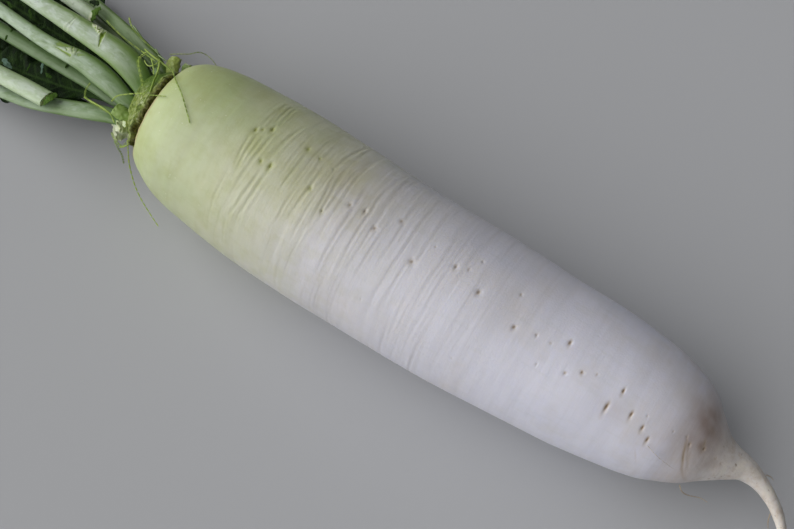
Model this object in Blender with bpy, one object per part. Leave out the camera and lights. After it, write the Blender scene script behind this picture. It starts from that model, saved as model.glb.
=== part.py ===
"""A daikon radish, picked and trimmed, lying on its side.

Run it with: blender --background --python part.py

Units are metres and +Z is up.  +X runs along the root from the leaves to the tail.  z = 0 is the
surface that it lies on, and the origin is the middle of the small flat where the root rests.
Lengths in the tables below are millimetres.
"""
import math

import bmesh
import bpy
from mathutils import Vector

MM = 0.001

# The swollen root with its shoulder and its tail.  Each station is the distance along X, the
# sideways place of the centre, and the radius; the centre's height follows the axis line.
AXIS_HEIGHT = 39.1
AXIS_SLOPE = -0.018
ROOT_SIDES = 32
BODY_STATIONS = [
    (-141.0, 1.3, 17.3), (-139.0, 1.3, 21.9), (-136.5, 1.3, 25.1), (-133.0, 1.3, 29.0),
    (-128.0, 1.5, 32.3), (-121.0, 1.7, 35.0), (-112.0, 1.6, 37.1), (-98.0, 1.3, 38.8),
    (-75.0, 0.6, 40.5), (-40.0, -0.3, 40.6), (0.0, -0.7, 39.6), (40.0, 0.3, 39.1),
    (75.0, 1.7, 37.1), (105.0, 3.3, 35.5), (125.0, 4.1, 33.2), (137.0, 4.2, 31.1),
    (145.0, 4.1, 28.9), (152.0, 3.9, 25.8), (158.0, 3.6, 22.2), (163.0, 3.7, 18.3),
]
# The tail leaves the axis line and droops: along X, sideways, height, radius.
TAIL_STATIONS = [
    (170.0, 4.2, 36.0, 12.3), (176.0, 5.0, 35.7, 8.6), (182.0, 5.5, 35.2, 6.2),
    (191.0, 4.5, 34.0, 4.0), (200.0, 1.0, 32.0, 3.1), (206.0, -2.5, 29.6, 2.6),
    (211.5, -7.0, 26.5, 2.2), (216.0, -12.0, 23.0, 1.9), (220.0, -18.0, 19.0, 1.5),
    (223.5, -25.0, 15.0, 1.1), (226.0, -32.0, 12.0, 0.6),
]
RESTING_CUT = (400.0, 120.0, 40.0)

# The short stem at the top of the root, which carries the leaves: along X and radius.
CROWN_STATIONS = [(-141.8, 16.2), (-142.8, 16.0), (-144.4, 15.2), (-145.6, 14.0)]
CROWN_CENTRE = (1.7, 41.6)
CROWN_SIDES = 20

# A leaf stalk's section is a D: its round back faces away from the plant's middle.  Both
# heights are shares of the half width.
BACK_HEIGHT = 0.5
FRONT_HEIGHT = 0.25
STALK_SIDES = 12

# Each route is a list of points: along X, sideways, height, half width.  Roll turns the
# round back away from straight up, towards -Y when it is positive.
STALK_ROUTES = {
    "leaf_stalk_1": (0, [
        (-148.8, 4.6, 49.8, 4.6), (-155, 8.5, 51.5, 6.2), (-164, 11.5, 53, 7.0),
        (-175, 12.7, 53, 6.4), (-198, 14.3, 50, 5.6), (-212, 15.2, 47.5, 4.9),
        (-228, 16.5, 44, 4.4), (-252, 18.8, 38.2, 4.1), (-274, 21.5, 32, 3.9)]),
    "leaf_stalk_2": (0, [
        (-147.5, -5, 45.8, 3.9), (-158, -2.6, 46.2, 4.6), (-165, -0.8, 47, 5.4),
        (-174, 0.6, 47, 5.8), (-184, 1.8, 46, 5.2), (-195, 1.4, 44.5, 4.4),
        (-207, 1.4, 42, 3.8), (-233, 4.2, 36, 3.4), (-255, 7, 30.5, 3.3),
        (-279, 10, 24, 3.2)]),
    "leaf_stalk_3": (0, [
        (-147.5, -0.5, 37, 3.2), (-156, -3.2, 36.5, 3.3), (-165, -3.8, 36.5, 3.4),
        (-175, -2.7, 35.5, 3.8), (-187, -1.9, 32.8, 4.0), (-216, -0.9, 26.4, 4.0),
        (-248, 0.4, 19.5, 4.0), (-282, 2.5, 13.4, 3.8)]),
    "leaf_stalk_4": (25, [
        (-147.5, -10.8, 41, 3.8), (-156, -12, 40.5, 4.8), (-165, -14.8, 39, 5.6),
        (-176, -18, 36, 5.6), (-187, -21.2, 33, 5.4), (-197, -24.6, 30.6, 5.0),
        (-209, -27, 28, 4.5), (-236, -29.4, 21.5, 4.0), (-270, -32, 14, 3.8)]),
    "leaf_stalk_5": (-25, [
        (-147.2, 16.6, 45, 3.2), (-153, 20.3, 46, 3.7), (-161, 22.9, 46, 3.7),
        (-171, 25.4, 45, 3.6), (-197, 31.6, 39, 3.3), (-225, 37, 32, 3.2),
        (-269, 45.5, 20, 3.0)]),
    "leaf_stalk_6": (-10, [
        (-147.5, 9.8, 41.8, 2.6), (-154, 13.6, 42.4, 2.7), (-164, 18.4, 41.2, 2.5),
        (-177, 22.2, 39, 2.5), (-206, 29.2, 33, 2.5), (-238, 35.6, 25, 2.4),
        (-262, 40, 19, 2.3)]),
    "snapped_stalk_1": (15, [
        (-193.2, -22.4, 37.8, 4.0), (-207, -22.4, 34.6, 4.1), (-222, -22.6, 31.2, 3.9),
        (-248, -23.5, 26, 3.8), (-268, -25, 22.5, 3.7)]),
    "snapped_stalk_2": (-10, [
        (-198.6, 26.2, 44.6, 3.7), (-208, 27.4, 42.6, 3.8), (-222, 29.4, 39.4, 3.7),
        (-246, 33.2, 33.5, 3.5), (-264, 36.5, 29, 3.4)]),
    "stalk_stub_1": (25, [
        (-147.4, -12.8, 47.6, 3.2), (-150.5, -13.2, 48.4, 3.6), (-154, -13, 48.8, 3.5)]),
    "stalk_stub_2": (80, [
        (-147.2, -14.4, 34.4, 3.6), (-149.2, -16.6, 35.4, 4.7), (-151.6, -19.4, 36.8, 4.9)]),
    "stalk_stub_3": (60, [
        (-143.4, -15.8, 48.4, 2.1), (-144.8, -17.1, 49.5, 2.7), (-146.6, -18.7, 50.6, 2.6)]),
    "stalk_stub_4": (-20, [
        (-147.4, 14.6, 49.4, 1.5), (-149, 15.3, 50.2, 1.9), (-151, 15.8, 50.8, 1.7)]),
    "stalk_stub_5": (-60, [
        (-144.4, 20.4, 47.4, 2.6), (-145.9, 23.2, 48, 3.2), (-147.6, 26.4, 47.8, 3.2)]),
    "stalk_stub_6": (-90, [
        (-144.6, 18.8, 36.4, 2.2), (-144.8, 25, 37.4, 2.3), (-145.2, 32.6, 38.4, 2.2)]),
    "stalk_stub_7": (150, [
        (-146.8, -5.6, 21.8, 2.8), (-149.2, -7.2, 18.6, 3.5), (-151.8, -8.8, 15.6, 3.4)]),
    "stalk_stub_8": (200, [
        (-147, 11.8, 24.4, 2.8), (-149.6, 13.6, 21.2, 3.4), (-152.6, 15.4, 17.8, 3.3)]),
}

# A leaf is a stalk that widens into a thin blade: along X, sideways, height, half width,
# thickness.  The blades here are plain, closed slips.
LEAF_SIDES = 5
LEAF_FOLD = 0.18
LEAF_ROUTES = {
    "young_leaf_1": [
        (-147.5, -5.2, 31.6, 2.0, 2.6), (-156, -5, 32, 2.1, 2.4), (-165, -3.6, 32.4, 2.1, 2.2),
        (-178, -4.6, 28.5, 2.2, 1.8), (-190, -7.4, 24.8, 6.5, 1.4), (-205, -10.2, 20.6, 11.5, 1.2),
        (-222, -12.4, 17, 13, 1.2), (-238, -14, 14.2, 11, 1.2), (-252, -15, 12.6, 5.5, 1.2),
        (-259, -15.4, 12.2, 1.2, 1.0)],
    "young_leaf_2": [
        (-147.5, 3.4, 42, 2.0, 2.6), (-160, 4.8, 42, 2.1, 2.4), (-175, 6.8, 40.6, 2.2, 2.0),
        (-190, 8.4, 37.6, 5.5, 1.4), (-205, 9.6, 34.6, 10.5, 1.2), (-220, 10.8, 31, 12, 1.2),
        (-235, 12, 28, 11, 1.2), (-248, 13, 25.5, 6, 1.2), (-256, 13.6, 24, 1.2, 1.0)],
    "lower_leaf_1": [
        (-147.3, 4, 29, 2.9, 3.2), (-158, 3, 25, 3.0, 3.2), (-170, 2.4, 18.8, 2.9, 3.0),
        (-185, 2.4, 11.6, 2.9, 2.6), (-198, 3.2, 7, 8, 1.8), (-212, 4.2, 3.8, 15, 1.6),
        (-228, 5, 2, 18, 1.5), (-246, 5.8, 1.2, 17, 1.4), (-262, 6.6, 1.2, 10.5, 1.4),
        (-274, 7, 1.4, 1.5, 1.2)],
    "lower_leaf_2": [
        (-147.3, -4.2, 26.4, 2.7, 3.0), (-157, -5.4, 22.6, 2.8, 3.0), (-169, -7, 17, 2.8, 2.8),
        (-183, -9, 13.4, 2.9, 2.4), (-196, -11.4, 12, 7, 1.8), (-210, -14.6, 11.2, 11, 1.6),
        (-226, -17.4, 10.4, 13, 1.5), (-242, -20.4, 9.4, 12, 1.4), (-255, -23.2, 8.4, 6, 1.4),
        (-262, -25, 8, 1.4, 1.2)],
    "lower_leaf_3": [
        (-147.3, 10.6, 30.4, 2.7, 3.0), (-157, 14.2, 27, 2.8, 3.0), (-169, 19, 22, 2.8, 2.8),
        (-184, 25, 15.6, 2.9, 2.4), (-197, 29.4, 11.6, 7, 1.8), (-211, 33, 9.4, 12, 1.6),
        (-227, 36.6, 8.6, 14, 1.5), (-243, 39.8, 8.4, 12, 1.4), (-256, 42.2, 8.2, 6, 1.4),
        (-263, 43.4, 8, 1.4, 1.2)],
}

# Loose fibres torn from cut stalks, and fine side roots: along X, sideways, height.  The
# radius runs from the thick end to the thin end.
FIBRE_RADII = (0.5, 0.3)
FIBRE_ROUTES = {
    "fibre_1": [(-144.6, -18.4, 38.8), (-144.2, -20.6, 31.6), (-142.9, -24.2, 23.4), (-138, -29.2, 18),
                (-131.6, -33.6, 13.6), (-124.6, -36.8, 9.6), (-117, -39.8, 6)],
    "fibre_2": [(-142.8, 19.8, 54.4), (-136.6, 15.6, 65.2), (-128.4, 9.4, 74.2), (-121.6, 5, 77.4),
                (-114.6, -0.6, 78.6), (-108.8, -5.6, 78.6)],
    "fibre_3": [(-151.6, 28, 46), (-148.2, 31.4, 44.6), (-145, 34.4, 43), (-142.2, 39, 40.4),
                (-137.4, 40.6, 36.4), (-134.4, 40.2, 32)],
    "fibre_4": [(-177.4, 31.4, 52), (-172.4, 27.6, 53.4), (-166.6, 25.8, 53), (-158.8, 24.2, 52.2),
                (-152.8, 23.2, 51.6)],
    "fibre_5": [(-158.6, -8.6, 49.4), (-157, -6.4, 52.4), (-153.8, -4.6, 55), (-145.4, -0.8, 59.4),
                (-138.8, -0.8, 65.4), (-133.6, -0.8, 70.8), (-127.4, 0.4, 74.8)],
    "fibre_6": [(-155.2, 18.4, 60), (-156, 13.2, 60.4), (-151.6, 8.2, 59.6), (-146.8, 3.4, 56.4)],
    "fibre_7": [(-154.6, 20.2, 54.8), (-150.2, 20.4, 54), (-147, 15, 55.2), (-143.8, 9.4, 57)],
    "fibre_8": [(-150.6, -20.8, 44.8), (-146.4, -23, 45.8), (-142, -23.8, 45.8), (-140.6, -22, 47.6)],
    "fibre_9": [(-148.8, -22.4, 40.4), (-146.8, -23.6, 37.4), (-144.4, -24.8, 33.2), (-142.6, -27, 29.6)],
    "fibre_10": [(-175.8, -5.4, 44), (-175, -9.6, 44.6), (-172.6, -12.6, 45.2), (-163.4, -13.4, 46),
                 (-157.8, -13.6, 46.2)],
    "fibre_11": [(-187, 24.8, 50), (-175, 21.6, 51.4), (-161.6, 19.8, 53), (-150, 17.6, 57.4)],
}
ROOTLET_RADII = (0.35, 0.2)
ROOTLET_ROUTES = {
    "rootlet_1": [(162.4, -16.6, 34), (165.2, -18, 31.4), (169.4, -17, 29), (173.8, -15, 27.6),
                  (177.6, -14.6, 26)],
    "rootlet_2": [(139.8, -15.8, 60.8), (144, -16.6, 58.8), (150.4, -16.7, 55.2), (154.8, -16.2, 52.4)],
    "rootlet_3": [(193, 8.8, 33.4), (195.4, 9.8, 31.6), (197.6, 9.8, 29)],
    "rootlet_4": [(203.2, -4.8, 30.6), (204, -7.6, 29.6), (206, -10, 27)],
    "rootlet_5": [(150, 29.8, 26.6), (152.6, 30.2, 22), (156, 28, 16.4)],
}

SKIN = ("daikon_skin", (0.80, 0.80, 0.78), 0.45)
CROWN_TISSUE = ("crown_tissue", (0.36, 0.40, 0.20), 0.6)
STALK_SKIN = ("stalk_skin", (0.55, 0.66, 0.42), 0.5)
BLADE_SKIN = ("leaf_blade", (0.06, 0.14, 0.04), 0.5)
FIBRE_SKIN = ("loose_fibre", (0.42, 0.52, 0.16), 0.6)
ROOTLET_SKIN = ("fine_side_root", (0.78, 0.72, 0.62), 0.6)

parts = bpy.data.collections.new("daikon_radish")
guides = bpy.data.collections.new("cutters_and_guides")


def clear_scene():
    """Removes what the file opened with, and links the two collections."""
    for old in list(bpy.data.objects):
        bpy.data.objects.remove(old)
    bpy.context.scene.collection.children.link(parts)
    bpy.context.scene.collection.children.link(guides)


def add_material(obj, finish):
    """Gives one object its own Principled material."""
    name, colour, roughness = finish
    material = bpy.data.materials.new(f"{obj.name}_{name}")
    material.use_nodes = True
    shader = material.node_tree.nodes["Principled BSDF"]
    shader.inputs["Base Color"].default_value = (*colour, 1.0)
    shader.inputs["Roughness"].default_value = roughness
    obj.data.materials.append(material)


def add_part(name, mesh, finish):
    """Links a finished mesh as one named part, shaded smooth."""
    obj = bpy.data.objects.new(name, mesh)
    parts.objects.link(obj)
    mesh.shade_smooth()
    mesh.set_sharp_from_angle(angle=math.radians(50))
    add_material(obj, finish)
    return obj


def hide_guide(obj):
    """A cutter or a guide shows as wire and never renders."""
    obj.display_type = "WIRE"
    obj.hide_render = True
    guides.objects.link(obj)


def curve_mesh(name, points, steps, sides, section=None, roll=0.0):
    """Sweeps a section along a smooth curve and returns the welded mesh.

    points are (x, y, z, radius) in millimetres.  Without a section object the sweep is
    round, with the given number of sides."""
    curve = bpy.data.curves.new(name, "CURVE")
    curve.dimensions = "3D"
    curve.resolution_u = steps
    curve.twist_mode = "Z_UP"
    curve.use_fill_caps = True
    if section is None:
        curve.bevel_depth = MM
        curve.bevel_resolution = (sides - 4) // 2
    else:
        curve.bevel_mode = "OBJECT"
        curve.bevel_object = section
    spline = curve.splines.new("BEZIER")
    spline.bezier_points.add(len(points) - 1)
    for knot, (x, y, z, radius) in zip(spline.bezier_points, points):
        knot.co = (x * MM, y * MM, z * MM)
        knot.handle_left_type = "AUTO"
        knot.handle_right_type = "AUTO"
        knot.radius = radius
        knot.tilt = math.radians(roll)
    sweep = bpy.data.objects.new(name + "_sweep", curve)
    guides.objects.link(sweep)
    depsgraph = bpy.context.evaluated_depsgraph_get()
    mesh = bpy.data.meshes.new_from_object(sweep.evaluated_get(depsgraph))
    bpy.data.objects.remove(sweep)
    bpy.data.curves.remove(curve)
    weld(mesh)
    mesh.name = name
    return mesh


def weld(mesh):
    """Joins the loose caps to the wall and points every face outwards."""
    bm = bmesh.new()
    bm.from_mesh(mesh)
    bmesh.ops.remove_doubles(bm, verts=bm.verts, dist=0.00001)
    bmesh.ops.recalc_face_normals(bm, faces=bm.faces)
    bm.to_mesh(mesh)
    bm.free()
    mesh.materials.clear()


def d_section():
    """The leaf stalk's section, one millimetre to each side: a round back and a flatter front."""
    curve = bpy.data.curves.new("stalk_section", "CURVE")
    curve.dimensions = "2D"
    curve.fill_mode = "NONE"
    spline = curve.splines.new("POLY")
    spline.points.add(STALK_SIDES - 1)
    spline.use_cyclic_u = True
    for index, point in enumerate(spline.points):
        angle = 2 * math.pi * index / STALK_SIDES
        height = BACK_HEIGHT if math.sin(angle) > 0 else FRONT_HEIGHT
        point.co = (MM * math.cos(angle), MM * height * math.sin(angle), 0, 1)
    section = bpy.data.objects.new("stalk_section", curve)
    hide_guide(section)
    return section


def make_root():
    """The root is one body: shoulder, barrel and tail, with a small flat where it rests."""
    stations = [(x, y, AXIS_HEIGHT + AXIS_SLOPE * x, r) for x, y, r in BODY_STATIONS]
    mesh = curve_mesh("root", stations + TAIL_STATIONS, steps=2, sides=ROOT_SIDES)
    root = add_part("root", mesh, SKIN)
    length, width, depth = (side * MM for side in RESTING_CUT)
    bpy.ops.mesh.primitive_cube_add(size=1, location=(0, 0, -depth / 2))
    cutter = bpy.context.object
    cutter.name = "resting_cut"
    cutter.scale = (length, width, depth)
    bpy.context.view_layer.update()
    cutter.data.transform(cutter.matrix_basis)
    cutter.matrix_basis.identity()
    for collection in list(cutter.users_collection):
        collection.objects.unlink(cutter)
    hide_guide(cutter)
    flat = root.modifiers.new("resting_flat", "BOOLEAN")
    flat.operation = "DIFFERENCE"
    flat.solver = "EXACT"
    flat.object = cutter


def make_crown():
    """The short stem is a low turned disc on the flat end of the shoulder."""
    y, z = CROWN_CENTRE
    stations = [(x, y, z, radius) for x, radius in CROWN_STATIONS]
    mesh = curve_mesh("crown", stations, steps=1, sides=CROWN_SIDES)
    add_part("crown", mesh, CROWN_TISSUE)


def make_stalks():
    """Whole, snapped and cut leaf stalks all share the D section."""
    section = d_section()
    for name, (roll, route) in STALK_ROUTES.items():
        mesh = curve_mesh(name, route, steps=2, sides=STALK_SIDES, section=section, roll=roll)
        add_part(name, mesh, STALK_SKIN)


def leaf_ring(centre, along, half_width, thickness):
    """One section of a leaf: a thin slip, folded up a little on both sides of its midrib."""
    side = along.cross(Vector((0, 0, 1))).normalized()
    up = side.cross(along).normalized()
    upper = []
    lower = []
    for step in range(LEAF_SIDES):
        across = 2 * step / (LEAF_SIDES - 1) - 1
        fold = LEAF_FOLD * abs(across) * half_width
        body = 0.5 * thickness * (1 - 0.6 * across * across)
        spot = centre + side * across * half_width + up * fold
        upper.append((spot + up * body) * MM)
        lower.append((spot - up * body) * MM)
    return upper + lower[::-1]


def make_leaves():
    """A leaf is a loft from a thick, narrow stalk to a thin, broad blade."""
    for name, route in LEAF_ROUTES.items():
        bm = bmesh.new()
        centres = [Vector(point[:3]) for point in route]
        rings = []
        for index, point in enumerate(route):
            before = centres[max(index - 1, 0)]
            after = centres[min(index + 1, len(route) - 1)]
            ring = leaf_ring(centres[index], (after - before).normalized(), point[3], point[4])
            rings.append([bm.verts.new(corner) for corner in ring])
        count = len(rings[0])
        for ring, following in zip(rings, rings[1:]):
            for index in range(count):
                after = (index + 1) % count
                bm.faces.new((ring[index], ring[after], following[after], following[index]))
        bm.faces.new(rings[0])
        bm.faces.new(rings[-1])
        bmesh.ops.recalc_face_normals(bm, faces=bm.faces)
        mesh = bpy.data.meshes.new(name)
        bm.to_mesh(mesh)
        bm.free()
        add_part(name, mesh, BLADE_SKIN)


def make_threads(routes, radii, finish):
    """Fibres and side roots are fine round curves that thin out towards their tips."""
    thick, thin = radii
    for name, route in routes.items():
        last = len(route) - 1
        points = []
        for index, point in enumerate(route):
            points.append((*point, thick + (thin - thick) * index / last))
        add_part(name, curve_mesh(name, points, steps=3, sides=6), finish)


clear_scene()
make_root()
make_crown()
make_stalks()
make_leaves()
make_threads(FIBRE_ROUTES, FIBRE_RADII, FIBRE_SKIN)
make_threads(ROOTLET_ROUTES, ROOTLET_RADII, ROOTLET_SKIN)
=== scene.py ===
# %% [markdown]
# # A daikon radish, picked and lying on its side
#
# A daikon is one long white root under a short stem, and the stem carries the leaf stalks. The
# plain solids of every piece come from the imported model, which is the fixed frame here: it says
# where each piece is and how big it is. This lesson gives the pieces their real surfaces. It
# measures the solids, grows a finer skin on each, and mixes each finish from shader nodes.

import math

import bpy
import numpy as np
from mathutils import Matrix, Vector


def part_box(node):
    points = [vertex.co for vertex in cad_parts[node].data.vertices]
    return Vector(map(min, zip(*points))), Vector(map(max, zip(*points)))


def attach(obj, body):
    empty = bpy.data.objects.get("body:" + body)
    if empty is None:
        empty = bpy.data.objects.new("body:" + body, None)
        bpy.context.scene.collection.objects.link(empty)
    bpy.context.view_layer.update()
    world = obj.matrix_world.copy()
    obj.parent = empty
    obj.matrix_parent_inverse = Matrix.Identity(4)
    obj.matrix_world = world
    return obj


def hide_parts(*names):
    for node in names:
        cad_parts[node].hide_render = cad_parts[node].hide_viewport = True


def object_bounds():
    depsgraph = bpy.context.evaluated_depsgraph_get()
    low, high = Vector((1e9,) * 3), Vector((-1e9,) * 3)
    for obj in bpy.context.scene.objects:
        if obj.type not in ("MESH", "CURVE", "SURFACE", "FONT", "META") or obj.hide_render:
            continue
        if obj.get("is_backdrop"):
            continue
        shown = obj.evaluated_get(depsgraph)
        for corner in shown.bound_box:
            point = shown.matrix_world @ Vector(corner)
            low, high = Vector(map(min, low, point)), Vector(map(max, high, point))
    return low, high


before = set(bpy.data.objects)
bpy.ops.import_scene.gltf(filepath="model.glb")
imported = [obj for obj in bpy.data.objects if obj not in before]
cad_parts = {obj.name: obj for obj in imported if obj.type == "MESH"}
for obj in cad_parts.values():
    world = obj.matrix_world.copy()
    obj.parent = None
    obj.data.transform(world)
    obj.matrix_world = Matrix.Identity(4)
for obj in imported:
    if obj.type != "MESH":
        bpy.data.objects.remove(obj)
cad_low, cad_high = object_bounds()
MM = 0.001
BODY = "root"
frame_size = [round(side / MM) for side in cad_high - cad_low]
print(f"frame: {len(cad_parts)} solids in a box of {frame_size} mm")

# %% [markdown]
# ## The camera
#
# A long, low thing reads best from above and a little to one side, so the camera stands over the
# radish and looks steeply down. A lens of about 58 mm from 60 cm away keeps the swelling of the
# root true: a wide lens close by would make the near end look fatter.

# %% Camera
AZIMUTH = math.radians(33.1)
ELEVATION = math.radians(72.0)
DISTANCE = 0.600
AIM = Vector((0.0, 0.0, 0.0391))
LENS = 57.8
SENSOR_WIDTH = 36.0


def direction_of(azimuth, elevation):
    """A unit vector from the radish towards a compass bearing and a height above the horizon."""
    level = math.cos(elevation)
    return Vector((math.sin(azimuth) * level, -math.cos(azimuth) * level, math.sin(elevation)))


camera = bpy.data.objects.new("camera", bpy.data.cameras.new("camera"))
bpy.context.scene.collection.objects.link(camera)
away = direction_of(AZIMUTH, ELEVATION)
camera.location = AIM + away * DISTANCE
camera.rotation_euler = (-away).to_track_quat("-Z", "Y").to_euler()
camera.data.lens = LENS
camera.data.sensor_width = SENSOR_WIDTH
bpy.context.scene.camera = camera
print(f"camera: {DISTANCE} m away, {LENS} mm lens")

# %% [markdown]
# ## Light and floor
#
# White skin shows its wrinkles only if the light comes from one side. A broad soft lamp stands
# low and far away at the leaf end, to the left of the root, and a very weak one stands opposite.
# A dim sky keeps the far side from going black. The Standard view transform leaves the colours as
# they are mixed. The floor is plain and pale, but a step darker than the root so that the white
# edge stands out. A plain far wall stands behind everything in low views. It glows evenly and
# casts no shadow, so the lamps shine through it.

# %% Lamps and sky
LAMP_SOFTNESS = math.radians(90.0)
SKY_COLOUR = (0.86, 0.89, 0.95, 1.0)
SKY_STRENGTH = 0.05


def add_lamp(name, direction, strength, colour):
    """A broad lamp, so far away that its light is even along the whole radish."""
    data = bpy.data.lights.new(name, "SUN")
    data.angle = LAMP_SOFTNESS
    data.energy = strength
    data.color = colour
    lamp = bpy.data.objects.new(name, data)
    bpy.context.scene.collection.objects.link(lamp)
    lamp.rotation_euler = (-Vector(direction)).to_track_quat("-Z", "Y").to_euler()


add_lamp("key_lamp", (-0.78, -0.42, 0.56), 3.4, (1.0, 0.99, 0.97))
add_lamp("fill_lamp", (0.7, 0.5, 0.8), 0.06, (0.94, 0.96, 1.0))

world = bpy.data.worlds.new("studio")
bpy.context.scene.world = world
world.use_nodes = True
sky = world.node_tree.nodes["Background"]
sky.inputs["Color"].default_value = SKY_COLOUR
sky.inputs["Strength"].default_value = SKY_STRENGTH
bpy.context.scene.view_settings.view_transform = "Standard"
print("light: two soft lamps and a dim sky")

# %% Floor and wall
FLOOR_SIZE = 60.0
WALL_RADIUS = 12.0
FLOOR_PAINT = {"Base Color": (0.47, 0.48, 0.505, 1.0), "Roughness": 0.7}
WALL_PAINT = {"Base Color": (0.0, 0.0, 0.0, 1.0), "Specular IOR Level": 0.0,
              "Emission Color": (0.37, 0.375, 0.385, 1.0), "Emission Strength": 1.0}


def paint(surface, settings):
    """Covers a surface with a plain new material that has the given shader settings."""
    material = bpy.data.materials.new(surface.name + "_paint")
    material.use_nodes = True
    for name, value in settings.items():
        material.node_tree.nodes["Principled BSDF"].inputs[name].default_value = value
    surface.data.materials.append(material)


bpy.ops.mesh.primitive_plane_add(size=FLOOR_SIZE)
floor = bpy.context.object
floor.name = "floor"
paint(floor, FLOOR_PAINT)
floor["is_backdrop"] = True

bpy.ops.mesh.primitive_cylinder_add(radius=WALL_RADIUS, depth=WALL_RADIUS, end_fill_type="NOTHING",
                                    vertices=96)
wall = bpy.context.object
wall.name = "wall"
paint(wall, WALL_PAINT)
wall.visible_shadow = wall.visible_diffuse = wall.visible_glossy = wall.visible_transmission = False
wall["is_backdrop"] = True
print(f"stage: a plain floor {FLOOR_SIZE:.0f} m wide and a plain wall {WALL_RADIUS:.0f} m away")

# %% [markdown]
# ## Measuring the solids
#
# Every long solid can be followed like a pipe. A flat plane is laid across it, the plane meets
# the solid's edges in a ring of points, and the ring gives the middle and the width. Then the
# plane takes a step along the middle line. So the finer surfaces made here follow the frame,
# with no numbers copied from it.

# %% Cut a solid with a plane
ON_GROUND = 0.5 * MM


def solid(name):
    """A CAD node's corners and triangles, as two arrays."""
    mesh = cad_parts[name].data
    mesh.calc_loop_triangles()
    corners = np.empty(len(mesh.vertices) * 3)
    mesh.vertices.foreach_get("co", corners)
    triangles = np.empty(len(mesh.loop_triangles) * 3, int)
    mesh.loop_triangles.foreach_get("vertices", triangles)
    return corners.reshape(-1, 3), triangles.reshape(-1, 3)


def unit(vectors):
    """The same directions, each one unit long."""
    return vectors / np.linalg.norm(vectors, axis=-1, keepdims=True)


def cut(shape, point, heading, reach):
    """Where a plane through the point meets the solid's edges, no further away than reach."""
    corners, triangles = shape
    height = (corners - point) @ heading
    start, end = triangles.ravel(), np.roll(triangles, 1, axis=1).ravel()
    crossing = height[start] * height[end] < 0
    start, end = start[crossing], end[crossing]
    share = (height[start] / (height[start] - height[end]))[:, None]
    ring = corners[start] + share * (corners[end] - corners[start])
    return ring[np.linalg.norm(ring - point, axis=1) < reach]


def round_section(ring, heading):
    """The middle and the radius of a round ring, by least squares. A flat underside is left out."""
    origin = ring.mean(axis=0)
    across = unit(np.cross(heading, (0.0, 0.0, 1.0)))
    upward = np.cross(across, heading)
    flat = np.column_stack([(ring - origin) @ across, (ring - origin) @ upward])
    flat = flat[ring[:, 2] > ON_GROUND]
    system = np.column_stack([2 * flat, np.ones(len(flat))])
    aside, above, rest = np.linalg.lstsq(system, (flat**2).sum(axis=1), rcond=None)[0]
    middle = origin + aside * across + above * upward
    return middle, math.sqrt(rest + aside * aside + above * above)


# %% Smooth curves and crowded places
FINE_PLACES = 4000


def path_lengths(points):
    """How far along a path each of its points lies."""
    steps = np.linalg.norm(np.diff(points, axis=0), axis=1)
    return np.concatenate([[0.0], np.cumsum(steps)])


def smooth_between(knots, values, places):
    """Values at the places, on a smooth curve that passes through every knot."""
    slopes = np.gradient(values, knots, axis=0)
    cell = np.clip(np.searchsorted(knots, places) - 1, 0, len(knots) - 2)
    width = (knots[cell + 1] - knots[cell])[:, None]
    t = ((places - knots[cell])[:, None] / width).clip(0.0, 1.0)
    low, high = values[cell], values[cell + 1]
    rise_low, rise_high = slopes[cell] * width, slopes[cell + 1] * width
    return (low * (2 * t**3 - 3 * t**2 + 1) + rise_low * (t**3 - 2 * t**2 + t)
            + high * (3 * t**2 - 2 * t**3) + rise_high * (t**3 - t**2))


def spaced(low, high, count, crowding):
    """Places from low to high, closer together where crowding(place) is larger."""
    fine = np.linspace(low, high, FINE_PLACES)
    weight = np.cumsum(crowding(fine))
    return np.interp(np.linspace(weight[0], weight[-1], count), weight, fine)


# %% [markdown]
# ## Uneven surfaces
#
# Nothing that grew is even. The lumps, streaks and ragged edges below all come from one smooth
# random field: random numbers sit on a grid of points, and the values in between are blended.
# The random number of a grid point is worked out from its coordinates by multiplying and mixing
# large whole numbers, so the same seed gives the same radish on every run.

# %% A smooth random field
GRID_PRIMES = np.array([73856093, 19349663, 83492791])
SEED_STEP = 2654435
MIXERS = [(13, 1274126177), (16, 2246822519)]
LOW_BITS = 0xFFFFFFFF


def lumps(places, seed=0):
    """Smooth random values from -1 to 1 at an array of points, with about one lump a unit."""
    cell = np.floor(places).astype(np.int64)
    part = places - cell
    fade = part * part * (3 - 2 * part)
    total = np.zeros(len(places))
    for corner in np.ndindex(2, 2, 2):
        mixed = (cell + corner) @ GRID_PRIMES + seed * SEED_STEP
        for shift, factor in MIXERS:
            mixed = (mixed ^ (mixed >> shift)) * factor & LOW_BITS
        share = np.prod(np.where(corner, fade, 1 - fade), axis=1)
        total += share * (mixed / (LOW_BITS // 2) - 1)
    return total


def columns_of(*columns):
    """Points for the random field, from one column of numbers or one number for each axis."""
    return np.column_stack(np.broadcast_arrays(*columns))


print("the field along a line:", lumps(columns_of(np.arange(0, 3, 0.5), 0.5, 0.5)).round(2))

# %% [markdown]
# Every skin is built the same way, as rings of points along a line. Neighbouring rings are joined
# by four-sided faces, and a fan of triangles closes each end, so the mesh has no holes.

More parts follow.
